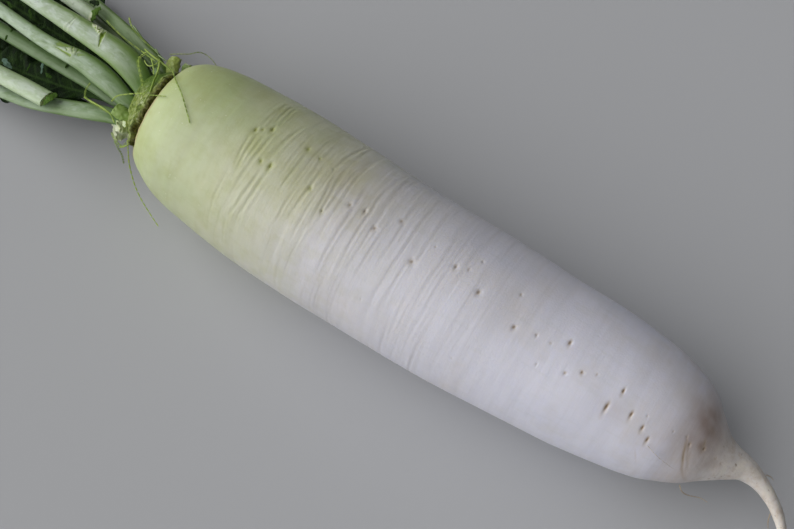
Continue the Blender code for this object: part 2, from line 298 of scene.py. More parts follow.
# %% Build a closed mesh from rings
def closed_tube(name, rings, marks=None):
    """A closed, smooth mesh from rings of points (rows, columns, 3), with a point at each end.

    marks are values or vectors for every point of the rings, kept on the mesh by name."""
    rows, columns, _ = rings.shape
    ends = np.array([rings[0].mean(axis=0), rings[-1].mean(axis=0)])
    points = np.concatenate([rings.reshape(-1, 3), ends])
    grid = np.arange(rows * columns).reshape(rows, columns)
    turned = np.roll(grid, -1, axis=1)
    quads = np.stack([grid[:-1], turned[:-1], turned[1:], grid[1:]], axis=-1).reshape(-1, 4)
    first, last = rows * columns, rows * columns + 1
    caps = [(first, b, a) for a, b in zip(grid[0].tolist(), turned[0].tolist())]
    caps += [(last, a, b) for a, b in zip(grid[-1].tolist(), turned[-1].tolist())]
    mesh = bpy.data.meshes.new(name)
    mesh.from_pydata(points.tolist(), [], quads.tolist() + caps)
    mesh.shade_smooth()
    for mark, values in (marks or {}).items():
        sizes = values.shape[2:]
        at_ends = [values[0].mean(axis=0), values[-1].mean(axis=0)]
        level = np.concatenate([values.reshape(-1, *sizes), at_ends])
        kind, field_name = ("FLOAT_VECTOR", "vector") if sizes else ("FLOAT", "value")
        data = mesh.attributes.new(mark, kind, "POINT").data
        data.foreach_set(field_name, level.astype(np.float32).ravel())
    piece = bpy.data.objects.new(name, mesh)
    bpy.context.scene.collection.objects.link(piece)
    return piece


def finish_piece(piece, material, slot, *nodes):
    """Gives a piece its finish and its place in the model, and hides the solids it stands in for."""
    piece.data.materials.append(material)
    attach(piece, BODY)
    if nodes:
        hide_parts(*nodes)
    print(f"{piece.name}: {len(piece.data.polygons)} faces")


# %% [markdown]
# ## Mixing finishes from nodes
#
# A finish is a small graph: coordinates feed noises, the noises are sharpened by ramps, and the
# ramps mix colours. Writing every node out would bury the recipe, so a small class adds nodes
# and links them, and each finish below reads as a list of what lies over what.

# %% A helper for node graphs
class Finish:
    """One material and the nodes in it. A socket can be given wherever a number can."""

    # A Mix node has sockets for numbers and vectors too: these are the share and the two colours.
    MIX_INPUTS = (0, 6, 7)
    MIX_RESULT = 2

    def __init__(self, name, roughness=0.5):
        self.material = bpy.data.materials.new(name)
        self.material.use_nodes = True
        self.tree = self.material.node_tree
        self.shader = self.tree.nodes["Principled BSDF"]
        self.shader.inputs["Roughness"].default_value = roughness

    def put(self, value, socket):
        """Links a socket, or sets a number or colour."""
        if isinstance(value, bpy.types.NodeSocket):
            self.tree.links.new(value, socket)
        else:
            socket.default_value = value

    def node(self, kind, inputs, **settings):
        """Adds a node, sets its options and fills its inputs by name or number."""
        node = self.tree.nodes.new(kind)
        for option, value in settings.items():
            setattr(node, option, value)
        for socket, value in inputs.items():
            self.put(value, node.inputs[socket])
        return node

    def place(self):
        """The point on the radish, in metres."""
        return self.node("ShaderNodeTexCoord", {}).outputs["Object"]

    def mark(self, name):
        """A value that the mesh keeps at its points."""
        return self.node("ShaderNodeAttribute", {}, attribute_name=name).outputs["Fac"]

    def grain(self):
        """The point on a stalk or leaf as if it were laid out straight, in metres."""
        return self.node("ShaderNodeAttribute", {}, attribute_name="grain").outputs["Vector"]

    def axis(self, vector, letter):
        """One coordinate of a vector."""
        return self.node("ShaderNodeSeparateXYZ", {"Vector": vector}).outputs[letter]

    def noise(self, vector, scale, detail=2.0, rough=0.5, twist=0.0):
        """Cloudy values around 0.5."""
        inputs = {"Vector": vector, "Scale": scale, "Detail": detail, "Roughness": rough, "Distortion": twist}
        return self.node("ShaderNodeTexNoise", inputs).outputs["Fac"]

    def streaks(self, vector, scales, detail=2.0, rough=0.5, twist=0.0):
        """Cloudy values that are drawn out along the axes with the smaller scales."""
        stretched = self.node("ShaderNodeVectorMath", {0: vector, 1: scales}, operation="MULTIPLY")
        return self.noise(stretched.outputs["Vector"], 1.0, detail, rough, twist)

    def maths(self, operation, first, second=0.0):
        """One step of arithmetic."""
        return self.node("ShaderNodeMath", {0: first, 1: second}, operation=operation).outputs["Value"]

    def times(self, first, second):
        """The product of two values."""
        return self.maths("MULTIPLY", first, second)

    def plus(self, first, second):
        """The sum of two values."""
        return self.maths("ADD", first, second)

    def band(self, value, start, end, low=0.0, high=1.0):
        """Rescales start..end to low..high, and holds the ends."""
        inputs = {"Value": value, "From Min": start, "From Max": end, "To Min": low, "To Max": high}
        return self.node("ShaderNodeMapRange", inputs).outputs["Result"]

    def ramp(self, value, stops):
        """A colour for each value. Stops are (place, colour), with places in the value's own units."""
        low, high = stops[0][0], stops[-1][0]
        node = self.node("ShaderNodeValToRGB", {"Fac": self.band(value, low, high)})
        elements = node.color_ramp.elements
        while len(elements) < len(stops):
            elements.new(0.5)
        for element, (spot, colour) in zip(elements, stops):
            element.position = (spot - low) / (high - low)
            element.color = (*colour, 1.0)
        return node.outputs["Color"]

    def mix(self, share, below, above, how="MIX"):
        """Lays one colour over another."""
        node = self.tree.nodes.new("ShaderNodeMix")
        node.data_type = "RGBA"
        node.blend_type = how
        for index, value in zip(self.MIX_INPUTS, (share, below, above)):
            colour = isinstance(value, tuple) and len(value) == 3
            self.put((*value, 1.0) if colour else value, node.inputs[index])
        return node.outputs[self.MIX_RESULT]

    def tint(self, share, below, filter_colour):
        """Multiplies a colour by another, like a thin clear glaze."""
        return self.mix(share, below, filter_colour, "MULTIPLY")

    def wet(self, depth, radius, weight):
        """Light that enters, spreads under the skin and comes out again."""
        self.shader.inputs["Subsurface Weight"].default_value = weight
        self.shader.inputs["Subsurface Radius"].default_value = radius
        self.shader.inputs["Subsurface Scale"].default_value = depth

    def gloss(self, level):
        """How strongly the surface mirrors light."""
        self.shader.inputs["Specular IOR Level"].default_value = level

    def bump(self, height, depth, strength=1.0):
        """Fine relief: height from 0 to 1 stands for 0 to depth metres."""
        inputs = {"Height": height, "Distance": depth, "Strength": strength}
        self.put(self.node("ShaderNodeBump", inputs).outputs["Normal"], self.shader.inputs["Normal"])

    def done(self, colour, roughness=None):
        """Plugs in the colour, and the roughness if it varies."""
        self.put(colour, self.shader.inputs["Base Color"])
        if roughness is not None:
            self.put(roughness, self.shader.inputs["Roughness"])
        return self.material


# %% Colours
def tone(red, green, blue):
    """A colour picked on a screen, from 0 to 255, as the amounts of light that shaders use."""
    return tuple((part / 255 / 12.92) if part < 10 else ((part / 255 + 0.055) / 1.055) ** 2.4
                 for part in (red, green, blue))


def scaled(colour, share):
    """A darker or brighter shade of a colour."""
    return tuple(min(1, share * part) for part in colour)


print("half-way grey on a screen, as light:", round(tone(128, 128, 128)[0], 3))

# %% [markdown]
# ## The root's shape
#
# The root is one piece: a rounded shoulder, a long barrel and a thin tail that curls away. It
# could be a turned profile, but a turned shape is too perfect, so it is built as rings of points
# around the middle line, and each point is then pushed in or out. The rings and columns are not
# even: they crowd together where the wrinkles and the pits are, and thin out underneath.

# %% Follow the root from shoulder to tail
STATIONS = [0.05, 2, 4.5, 8, 13, 20, 29, 43, 66, 101, 141, 181, 216, 246, 266, 278, 286, 293, 299, 304,
            311, 317, 323]
BARREL_REACH, TAIL_REACH = 0.1, 0.025
TAIL_STEP = 6.0 * MM
TRIES = 3
FEWEST_POINTS = 12
root_low, root_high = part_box("root")


def follow_root():
    """The middle line and radius of the root at each station, then along the tail.

    On the bent tail every section is cut a few times, so that it comes to lie square to the line."""
    shape = solid("root")
    point = np.array([root_low.x, (root_low.y + root_high.y) / 2, (root_low.z + root_high.z) / 2])
    heading = np.array([1.0, 0.0, 0.0])
    line = []
    for station in STATIONS:
        point = np.array([root_low.x + station * MM, point[1], point[2]])
        point, radius = round_section(cut(shape, point, heading, BARREL_REACH), heading)
        line.append((*point, radius))
    while True:
        point = point + heading * TAIL_STEP
        for _ in range(TRIES):
            ring = cut(shape, point, heading, TAIL_REACH)
            if len(ring) < FEWEST_POINTS:
                return np.array(line)
            point, radius = round_section(ring, heading)
            heading = unit(point - np.array(line[-1][:3]))
        line.append((*point, radius))


root_line = follow_root()
root_knots = path_lengths(root_line[:, :3]) + root_line[0, 0]
print(f"root: {len(root_line)} sections, thickest {2 * root_line[:, 3].max() / MM:.1f} mm")

# %% [markdown]
# Places on the root are given as a distance along it and an angle round it. The distance is in
# millimetres and matches X along the barrel. The angle is 0 on top and grows towards -Y. The
# pits are where side roots grew. They stand in two rows on opposite sides. Most are round dimples
# with a brown bottom. Towards the tail they are drawn out sideways into slits and creases.

# %% Pits along the upper row: distance, angle, size, length of the crease in degrees
PITS = [
    (-81, -10, 1.0, -5), (-78.5, -13, 0.8, 0), (-75, -17, 1.1, -6), (-70, 6, 1.0, 0), (-65, 5, 1.1, 5),
    (-56, -19, 0.9, 0), (-49, -18, 0.7, 4), (-41, -17, 0.5, 0), (-44, 3, 0.9, 0), (-34, 11, 0.8, 4),
    (-25, -2, 0.9, 0), (-18, -4, 0.9, -4), (-10, 2, 1.0, 0), (-2, -12, 0.9, 0), (0.6, 47, 0.4, 0),
    (12, 8, 1.1, 0), (17, -9, 0.5, 0), (29.5, -4, 0.9, 3), (35, -7, 0.6, 4), (38, -17, 0.6, 0),
    (44, 3, 1.2, 0), (48.5, 51, 0.4, 0), (60, -11, 0.7, 0), (65, 11, 1.1, 0), (75, 8, 0.7, 3),
    (82, 8, 0.6, 0), (81.5, 25, 0.5, 4), (89, 1, 1.0, 6), (94, 21, 0.8, 3), (100, 15, 1.0, 0),
    (98, -14, 0.4, 0), (106, 11, 0.6, 4), (116.6, 28, 1.2, 14), (119.2, 12, 1.0, -5),
    (127.3, 24, 1.0, 11), (133.4, 19, 0.5, 4), (134.3, 29, 1.0, 7), (138.8, 36, 1.0, 9),
    (146.3, 19, 0.5, 4), (152.6, 17, 0.6, 4), (155.4, 22, 0.8, 8), (162, 16, 1.0, 3), (169, 19, 0.6, 5),
    (172, 25, 0.6, 5), (177.8, 27, 0.6, 6), (177.9, 59, 0.5, 6), (175.8, 57, 0.4, 5), (171.6, 77, 0.5, 5),
    (181.7, 54, 0.5, 6),
]
LOWER_ROW = 180.0
LOWER_PITS = 26
rng = np.random.default_rng(11)


def lower_pit():
    """One pit of the row that lies underneath, at random."""
    distance = rng.uniform(-90, 165)
    angle = LOWER_ROW + rng.normal(0, 14)
    size = rng.uniform(0.5, 1.2)
    return distance, angle, size, rng.uniform(-6, 6)


PITS += [lower_pit() for _ in range(LOWER_PITS)]
print(f"pits: {len(PITS)}")

# %% [markdown]
# The skin wrinkles across the root, in long shallow folds that bunch together near the shoulder
# and thin out towards the tail. Each fold is a groove with a low lip on each side. The main ones
# are listed and the rest fill in between them. Thin cracks cross the root before the tail, where
# it was drawn out fastest as it grew. The deepest ones turn brown.

# %% Folds and cracks: distance at each end, angle at each end, depth
FOLDS = [
    (-80, -80.4, -50, -12, 0.20), (-79.6, -77.6, -46, -14, 0.20), (-77.6, -76.4, -50, -20, 0.22),
    (-75.6, -73.4, -52, -18, 0.20), (-73.6, -72.2, -50, -22, 0.12), (-81.9, -79.4, -9, 22, 0.22),
    (-78.9, -77.9, -11, 26, 0.22), (-75.8, -75.9, -12, 17, 0.18), (-72.7, -74.7, -17, 28, 0.24),
    (-66, -69.2, -24, 5, 0.16), (-64.7, -67.9, -38, 8, 0.20), (-62.6, -64.8, -36, 2, 0.10),
    (-67.7, -70.8, 10, 50, 0.26), (-64.4, -66.9, 6, 48, 0.24), (-62, -63.6, 12, 40, 0.10),
    (-59.5, -59, -46, 10, 0.12), (-54.9, -55.8, -18, 18, 0.20), (-57, -57.4, -12, 30, 0.10),
    (-51, -52, -40, 14, 0.12), (-49.5, -50.5, 0, 36, 0.10), (-44.8, -45.6, -16, 28, 0.20),
    (-47.2, -47.6, -34, 2, 0.10), (-42, -42.4, -30, 16, 0.10), (-38.9, -35.5, -16, 26, 0.18),
    (-36.3, -34.9, -26, 24, 0.18), (-40.6, -40, 4, 38, 0.12), (-30.2, -29.4, -44, 34, 0.14),
    (-23.6, -22.8, -26, 50, 0.18), (-16.6, -15.2, -34, 46, 0.16), (-12, -10.8, -52, 42, 0.16),
    (-7, -6.4, -30, 30, 0.10), (-0.8, -0.4, -46, 26, 0.14), (5, 5.8, -30, 34, 0.10),
    (13, 13.2, -44, 16, 0.12), (22, 23, -26, 40, 0.10), (33, 33.2, -36, 20, 0.10), (41, 42, -20, 36, 0.08),
]
CRACKS = [
    (152.4, 163.0, 15, 76, 0.27), (154.0, 161.6, 19, 52, 0.16), (157.0, 162.0, 24, 58, 0.12),
    (159.2, 164.0, 44, 80, 0.10), (136.3, 142.1, 47, 69, 0.08), (160.2, 161.8, 5, 25, 0.26),
    (151, 153.4, 28, 54, 0.06), (163.6, 165.6, 20, 46, 0.08), (116, 116.8, 26, 44, 0.06),
]
MAIN_FOLDS = len(FOLDS)
FILLING_FOLDS = 320


def filling_fold(order):
    """One more fold at random. Every third one lies in the part where folds are thickest."""
    spot = rng.uniform(-108, 112) if order % 3 else rng.uniform(-45, 60)
    slope = rng.normal(0, 0.9)
    middle = rng.uniform(-180, 180)
    reach = rng.uniform(12, 30) * np.interp(spot, [-80, -55], [1.0, 1.9])
    depth = rng.uniform(0.04, 0.13)
    depth *= np.interp(spot, [-108, -92, -84, -45, 10, 112], [0.0, 0.1, 1.0, 1.0, 0.7, 0.3])
    return spot - slope, spot + slope, middle - reach, middle + reach, depth


FOLDS += [filling_fold(order) for order in range(FILLING_FOLDS)]
print(f"folds: {MAIN_FOLDS} placed, {FILLING_FOLDS} filled in, {len(CRACKS)} cracks")

# %% [markdown]
# A few broad soft patches of colour lie on the skin. The tan ones are where it was rubbed or
# touched by soil, except two at the end of the barrel, which are painted shade. The grey ones are
# painted shade. They are too local for a noise to put in the right place, so they are listed one
# by one and only their edges are left to chance.

# %% Patches of colour: distance, angle, spread along, spread round in degrees, strength
TAN_AND_SHADE_PATCHES = [
    (-112, -52, 18, 20, 0.8), (-130, -10, 2.5, 16, 0.6), (-28, -20, 15, 20, 0.5), (-46, 2, 13, 20, 0.6),
    (-72, 2, 15, 20, 0.7), (-56, -19, 4, 7, 0.3), (-41, -16, 4, 6, 0.3), (-20, 4, 9, 12, 0.3),
    # The patches at 160 and 155 on the -14 degree side are painted shade where the barrel ends; the rest are
    # tan stains.
    (160, -14, 8, 26, 0.95), (169, 30, 5, 18, 0.4), (155, -14, 9, 16, 0.4), (161, 17, 2.2, 8, 0.9),
    (154.6, 20, 2.5, 9, 0.5), (120, 28, 7, 9, 0.2), (60, 5, 12, 18, 0.15), (145, 30, 8, 20, 0.2),
    (-105, 24, 3, 5, 0.4), (-86, 148, 20, 20, 0.6), (30, 170, 30, 25, 0.6),
]
# Grey patches: painted shade, mostly on the side away from the lamp and underneath.
PAINTED_SHADE_PATCHES = [
    (-14, -58, 14, 14, 0.7), (12, -62, 10, 10, 0.5), (40, -30, 14, 14, 0.3), (100, -50, 16, 14, 0.4),
    (-70, -62, 10, 10, 0.3), (90, 60, 20, 14, 0.3), (-40, 200, 30, 30, 0.6), (110, 160, 20, 30, 0.6),
]
print(f"patches: {len(TAN_AND_SHADE_PATCHES)} tan, {len(PAINTED_SHADE_PATCHES)} grey")

# %% [markdown]
# Small pits need a fine mesh, and a fine mesh everywhere would be far too heavy. So the rings are
# closest at the rim of the shoulder, on the wrinkled part behind it and before the tail. The grid
# is also drawn together a little at every pit, the way a net is when it is pinched.

# %% Crowd the rings and columns where the detail is
RINGS, COLUMNS = 498, 200
RING_SPOTS = [-0.141, -0.136, -0.1345, -0.132, -0.130, -0.112, -0.088, -0.083, -0.034, -0.028, 0.05, 0.06,
              0.11, 0.114, 0.142, 0.15, 0.166, 0.18, 0.3]
RING_CROWDING = [0.6, 0.8, 3.0, 3.0, 0.7, 0.6, 0.8, 2.1, 2.0, 1.5, 1.4, 1.1,
                 0.9, 1.3, 1.3, 1.7, 1.6, 0.8, 0.45]
PIT_ROW = 8.0
AWAY_FROM_PITS = [0, 34, 60, 95, 130, 190]
COLUMN_CROWDING = [2.3, 2.0, 1.5, 1.1, 0.6, 0.6]
PULL, PULL_REACH = 0.5, 2.6


def turn_between(angle, centre):
    """The signed angle from the centre, from -180 to 180 degrees."""
    return (angle - centre + 180.0) % 360.0 - 180.0


ring_places = spaced(root_knots[0], root_knots[-1], RINGS, lambda s: np.interp(s, RING_SPOTS, RING_CROWDING))
column_angles = spaced(-180.0, 180.0, COLUMNS + 1,
                       lambda angle: np.interp(np.abs(angle - PIT_ROW), AWAY_FROM_PITS, COLUMN_CROWDING))
along = np.repeat(ring_places[:, None], COLUMNS, axis=1)
angles = np.repeat(column_angles[None, :-1], RINGS, axis=0)
radius_at = smooth_between(root_knots, root_line[:, 3:], ring_places)
mm_per_degree = radius_at / MM * math.pi / 180
for spot, angle, _, _ in PITS:
    to_spot = along / MM - spot
    to_angle = turn_between(angles, angle)
    near = to_spot**2 + (to_angle * mm_per_degree) ** 2
    pull = PULL * np.exp(-near / (2 * PULL_REACH**2))
    along = along - pull * to_spot * MM
    angles = angles - pull * to_angle
print(f"root grid: {RINGS} rings of {COLUMNS} points")

# %% [markdown]
# The relief adds up: broad swells and fine cross ridges first, then the folds, the pits with
# their creases, and the rough skin of the tail. Four marks are kept for the finish: how brown a
# pit makes the skin, how deep in a fold a point lies, the tan patches, partly painted shade, and
# the grey patches of painted shade. All heights and distances are in millimetres here.

# %% Swells and fine ridges
x = along / MM
turn = np.radians(angles)
thickness = radius_at / MM
on_skin = np.stack([x, np.cos(turn) * thickness, np.sin(turn) * thickness], axis=-1).reshape(-1, 3)


def field(sizes, seed):
    """The random field on the root's skin, with lumps of the given sizes along and around."""
    return lumps(on_skin / np.array(sizes), seed).reshape(x.shape)


barrel = np.interp(x, [-141, -132, 140, 160], [0, 1, 1, 0.3])
wrinkled = np.interp(x, [-128, -100, -84, -45, 20, 80, 130], [0, 0.2, 0.8, 0.8, 0.6, 0.4, 0.15])
height = barrel * (0.42 * field((46, 30, 30), 1) + 0.16 * field((15, 18, 18), 2))
height += wrinkled * (0.08 * field((2.8, 26, 26), 3) + 0.04 * field((1.4, 15, 15), 4))
print(f"swells: {height.min():.2f} to {height.max():.2f} mm")

# %% Press the folds and cracks in
FOLD_RELIEF = 0.5
FOLD_LIP, CRACK_LIP = 0.5, 0.1
FOLD_WIDTH, EXTRA_WIDTH = 0.46, 0.85
FADE_POWER = 0.7
DEEPEST_STAIN = 0.8
LIP_DISTANCE = 2.1
wander = 0.55 * field((30, 14, 14), 5) + 0.25 * field((12, 5, 5), 6)
fold_depth = np.zeros_like(x)
stain = np.zeros_like(x)


def wrinkle(start, end, first, last, depth):
    """The groove and the lips of a wrinkle, how they fade to its ends, and the place along it."""
    share = turn_between(angles, (first + last) / 2) / ((last - first) / 2)
    off = np.abs(x - (start + end) / 2 - (end - start) / 2 * share.clip(-1, 1) - wander)
    fade = (1 - share**2).clip(0, 1) ** FADE_POWER
    width = FOLD_WIDTH + EXTRA_WIDTH * depth
    groove = np.exp(-((off / width) ** 2))
    lip = np.exp(-(((off - LIP_DISTANCE * width) / width) ** 2))
    return groove, lip, fade, share


for start, end, first, last, depth in FOLDS:
    depth *= np.interp((start + end) / 2, [-60, -25, 45, 90], [1.0, 1.35, 1.5, 1.2])
    groove, lip, fade, _ = wrinkle(start, end, first, last, depth)
    height += FOLD_RELIEF * depth * fade * (FOLD_LIP * lip - groove)
    fold_depth += depth * fade * groove
for start, end, first, last, depth in CRACKS:
    groove, lip, fade, share = wrinkle(start, end, first, last, depth)
    height += FOLD_RELIEF * depth * fade * (CRACK_LIP * lip - groove)
    darker = np.interp(share, [-1, -0.6, 0.2, 1], [3.6, 3.2, 1.8, 1.4])
    stain = np.maximum(stain, (darker * depth * fade * groove).clip(0, DEEPEST_STAIN))
print(f"with folds: {height.min():.2f} to {height.max():.2f} mm")

# %% [markdown]
# A pit is a small dimple with a faint rim. It has a brown bottom, set a little onto the wall that
# faces away from the lamp as painted shade, a smear of brown beside it and a weak halo. No two are
# alike: they lean to different sides, and those near the tail are narrower. Where a pit has a
# crease, the skin is also drawn in along a line that runs out of one side of it.

# %% Press the pits in
PIT_DEPTH, PIT_RIM, CREASE_DEPTH = 0.27, 0.025, 0.22
PIT_LEAN, LEAN_TURN, LONG_CREASE = 0.25, 2.4, 5
HOLLOW_SIZE, HALO_SIZE = 2.0, 2.1
SMEAR_STAIN, CREASE_STAIN = 0.3, 0.55
ALONG_BARREL = [-20, 20, 100]


def press_pit(order, spot, angle, size, crease):
    """Adds one pit to the height and the stain of the root."""
    strength = min(size, 1.0)
    to_spot = x - spot
    to_angle = turn_between(angles, angle) * mm_per_degree
    from_pit = to_spot**2 + to_angle**2
    lean = PIT_LEAN * math.sin(order * LEAN_TURN) * (abs(crease) < LONG_CREASE)
    narrow = to_spot - lean * to_angle
    wide = to_angle + lean * to_spot
    tight = np.interp(spot, ALONG_BARREL, [0.95, 0.88, 0.62]) * size
    breadth = (np.interp(spot, ALONG_BARREL, [1.15, 1.08, 0.9]) + 0.09 * abs(crease)) * size
    near = np.sqrt((narrow / tight) ** 2 + (wide / breadth) ** 2)
    dimple = np.exp(-(near**2))
    rim = np.exp(-((near - 2.0) ** 2) / 0.5)
    hollow = np.interp(spot, [70, 110], [0.12, 0.0]) * size * np.exp(-from_pit / (HOLLOW_SIZE * size) ** 2)
    height[:] -= PIT_DEPTH * size * dimple - PIT_RIM * size * rim
    height[:] -= hollow
    # The brown bottom is set a little towards -X, onto the pit wall that faces away from the lamp, as painted
    # shade.
    core = ((narrow + 0.12 * size) / tight) ** 2 + (wide / breadth) ** 2
    smear = (narrow / (1.5 * tight)) ** 2 + ((wide - 1.1 * breadth) / (1.4 * breadth)) ** 2
    halo = np.exp(-(from_pit / (HALO_SIZE * size) ** 2))
    for level in (np.interp(spot, [0, 60], [0.78, 0.92]) * strength * np.exp(-core),
                  SMEAR_STAIN * strength * np.exp(-smear),
                  np.interp(spot, [0, 40], [0.2, 0.1]) * strength * halo):
        stain[:] = np.maximum(stain, level)
    if crease:
        share = to_angle / (crease * mm_per_degree)
        slant = np.interp(spot, [140, 153], [0.04, 0.19]) * to_angle / mm_per_degree
        line = np.exp(-(((to_spot - slant) / (0.45 * size)) ** 2)) * (share > -0.1) * (1 - share).clip(0, 1)
        height[:] -= CREASE_DEPTH * size * line
        stain[:] = np.maximum(stain, CREASE_STAIN * strength * line)


for order, row in enumerate(PITS):
    press_pit(order, *row)
print(f"with pits: {height.min():.2f} to {height.max():.2f} mm")

# %% Soft patches
patchy = 0.75 + 0.45 * field((8, 8, 8), 14) + 0.3 * field((3, 3, 3), 15)


def patch_level(rows):
    """How strongly a list of soft patches colours each point, from 0 to 1."""
    level = np.zeros_like(x)
    for spot, angle, spread, spread_round, strength in rows:
        away = ((x - spot) / spread) ** 2 + (turn_between(angles, angle) / spread_round) ** 2
        level += strength * np.exp(-away)
    return (level * patchy).clip(0, 1)


tan_and_shade_level = patch_level(TAN_AND_SHADE_PATCHES)
painted_shade_level = patch_level(PAINTED_SHADE_PATCHES)
print(f"patches cover {100 * (np.maximum(tan_and_shade_level, painted_shade_level) > 0.2).mean():.0f} % of the points")

# %% [markdown]
# The thin skin of the tail is rough and scaly. At the other end the shoulder curves in towards
# the crown and breaks off in a narrow step. Round most of the crown the step lies a little
# further out, because the shoulder runs on there.

# %% Tail skin and the rim of the shoulder
RIM_MIDDLE, RIM_HALF, RIM_FADE = 14.0, 46.0, 34.0
RIM_SPOTS = [-141, -137.5, -135.2, -134.2, -133.4, -132.9, -132.2]
RIM_DROPS = [1.5, 4.0, 4.8, 3.6, 1.2, 0.25, 0]


def hidden_side(angle):
    """0 where the shoulder breaks off early towards the crown, and 1 round the rest of it."""
    off = np.abs(turn_between(angle, RIM_MIDDLE))
    share = ((off - RIM_HALF) / RIM_FADE).clip(0, 1)
    return share * share * (3 - 2 * share)


tail = np.interp(x, [138, 160, 190, 240], [0, 0.6, 1, 0.7])
thin = np.interp(thickness, [4, 10, 24], [1.0, 0.8, 0.15])
scales = 0.2 * field((11, 2.6, 2.6), 7) + 0.1 * field((2.4, 9, 9), 8) + 0.05 * field((1.5, 1.2, 1.2), 9)
height += tail * thin * scales
stain += tail * 0.35 * (field((9, 3, 3), 10) - 0.25).clip(0, 1)
rim = x + 4.0 * hidden_side(angles) + 0.35 * field((40, 5, 5), 12) + 0.2 * field((40, 2, 2), 13)
height -= np.interp(rim, RIM_SPOTS, RIM_DROPS)
print(f"relief: {height.min():.2f} to {height.max():.2f} mm")

# %% [markdown]
# The relief is only a height over a smooth pipe so far. Now every grid point is set on its ring and
# moved out or in by its height. The rings stand square across X along the barrel, where the middle
# line is almost straight, and turn with the line on the tail. Anything that would reach below the
# ground is lifted to it, because the radish rests there on a slightly flattened strip.

# %% Rings in space
TAIL_START, TAIL_TURNED = 0.166, 0.182
LOOK_AHEAD = 0.2 * MM
FULL_FOLD = 0.22


def ring_frames(knots, line, places):
    """Middle, side and up directions of the rings: they stand across X until the tail bends away."""
    middle = smooth_between(knots, line, places)
    ahead = smooth_between(knots, line, places + LOOK_AHEAD)
    behind = smooth_between(knots, line, places - LOOK_AHEAD)
    bend = np.interp(places, [TAIL_START, TAIL_TURNED], [0.0, 1.0])[:, None]
    heading = unit(unit(ahead - behind) * bend + np.array([1.0, 0.0, 0.0]) * (1 - bend))
    side = unit(np.cross(heading, (0.0, 0.0, 1.0)))
    return middle, side, np.cross(side, heading)


flat_along = along.ravel()
middle, side, upward = ring_frames(root_knots, root_line[:, :3], flat_along)
radius = smooth_between(root_knots, root_line[:, 3:], flat_along)[:, 0]
lift = height.ravel() * MM * np.interp(radius, [0.5 * MM, 3 * MM], [0.1, 1.0])
spoke = upward * np.cos(turn.ravel())[:, None] + side * np.sin(turn.ravel())[:, None]
root_points = middle + spoke * (radius + lift)[:, None]
root_points[:, 2] = root_points[:, 2].clip(0.0)
# The tan mark holds stains and two patches of painted shade, and the grey mark holds painted shade.
root_marks = {"stain": stain.clip(0, 1), "fold": (fold_depth / FULL_FOLD).clip(0, 1),
              "tan": tan_and_shade_level, "grey": painted_shade_level}
root = closed_tube("daikon_root", root_points.reshape(RINGS, COLUMNS, 3), root_marks)
print(f"root: {len(root.data.vertices)} points")

# %% [markdown]
# ## The root's finish
#
# The part of the root that stood above the soil turned yellow-green, and the green fades into
# white in uneven streaks. The white is a little cool, with warmer patches. The tail is beige, with
# painted shade where the barrel ends and a painted highlight where the tail begins. Wrinkles are
# painted a shade darker than the skin, as painted shade in the grooves, and pits are brown, or
# olive where the skin is green. Light enters this wet flesh, so a little of it is scattered under
# the skin.

# %% Colours of the daikon skin
WHITE = (0.715, 0.71, 0.785)
BRIGHT_WHITE = (0.79, 0.79, 0.90)
WARM_WHITE = (0.735, 0.71, 0.735)
SKIN_STOPS_WITH_PAINTED_LIGHT = [
    (-0.145, (0.50, 0.58, 0.27)), (-0.125, (0.51, 0.60, 0.30)), (-0.100, (0.54, 0.60, 0.37)),
    (-0.076, (0.60, 0.63, 0.43)), (-0.048, (0.66, 0.665, 0.55)), (-0.015, (0.695, 0.685, 0.715)),
    (0.02, WHITE), (0.090, BRIGHT_WHITE), (0.135, BRIGHT_WHITE), (0.162, (0.69, 0.63, 0.62)),
    # The light stops at 0.174 and 0.187 are a painted highlight where the tail begins; the beige is the
    # tail's own colour.
    (0.174, (0.80, 0.75, 0.74)), (0.187, (0.79, 0.73, 0.68)), (0.24, (0.74, 0.67, 0.60)),
]
OLIVE_CLOUD, PALE_SPECK = (0.46, 0.50, 0.22), (0.78, 0.80, 0.66)
TAIL_DIRT, TAIL_CLEAN, TAIL_SPECK = (0.50, 0.385, 0.27), (0.88, 0.83, 0.75), (0.30, 0.20, 0.12)
# The rim edge is a dried brown made darker as painted shade in the recess under the crown.
RIM_BLUSH, RIM_EDGE_AND_SHADE = (0.40, 0.24, 0.13), (0.085, 0.075, 0.02)
SOIL_ON_WHITE, SOIL_ON_TAIL, SOIL_ON_GREEN = (0.50, 0.45, 0.41), (0.53, 0.43, 0.34), (0.42, 0.46, 0.17)
PIT_ON_WHITE, PIT_ON_TAIL, PIT_ON_GREEN = (0.32, 0.26, 0.21), (0.27, 0.19, 0.12), (0.29, 0.31, 0.10)
# The rest are glazes: they multiply the colour under them.
BLOTCH_GLAZE, GREY_GLAZE, STREAK_GLAZE = (0.90, 0.90, 0.78), (0.86, 0.86, 0.85), (0.90, 0.91, 0.86)
TAN_ON_GREEN, TAN_ON_WHITE, TAN_AND_SHADE_ON_TAIL = (0.86, 0.87, 0.66), (0.84, 0.80, 0.61), (0.66, 0.56, 0.50)
SHADE_GLAZE = (0.80, 0.84, 0.90)
# Fold tints: painted shade in the grooves of the wrinkles.
FOLD_SHADE_ON_WHITE, FOLD_SHADE_ON_GREEN = (0.76, 0.74, 0.70), (0.66, 0.72, 0.36)


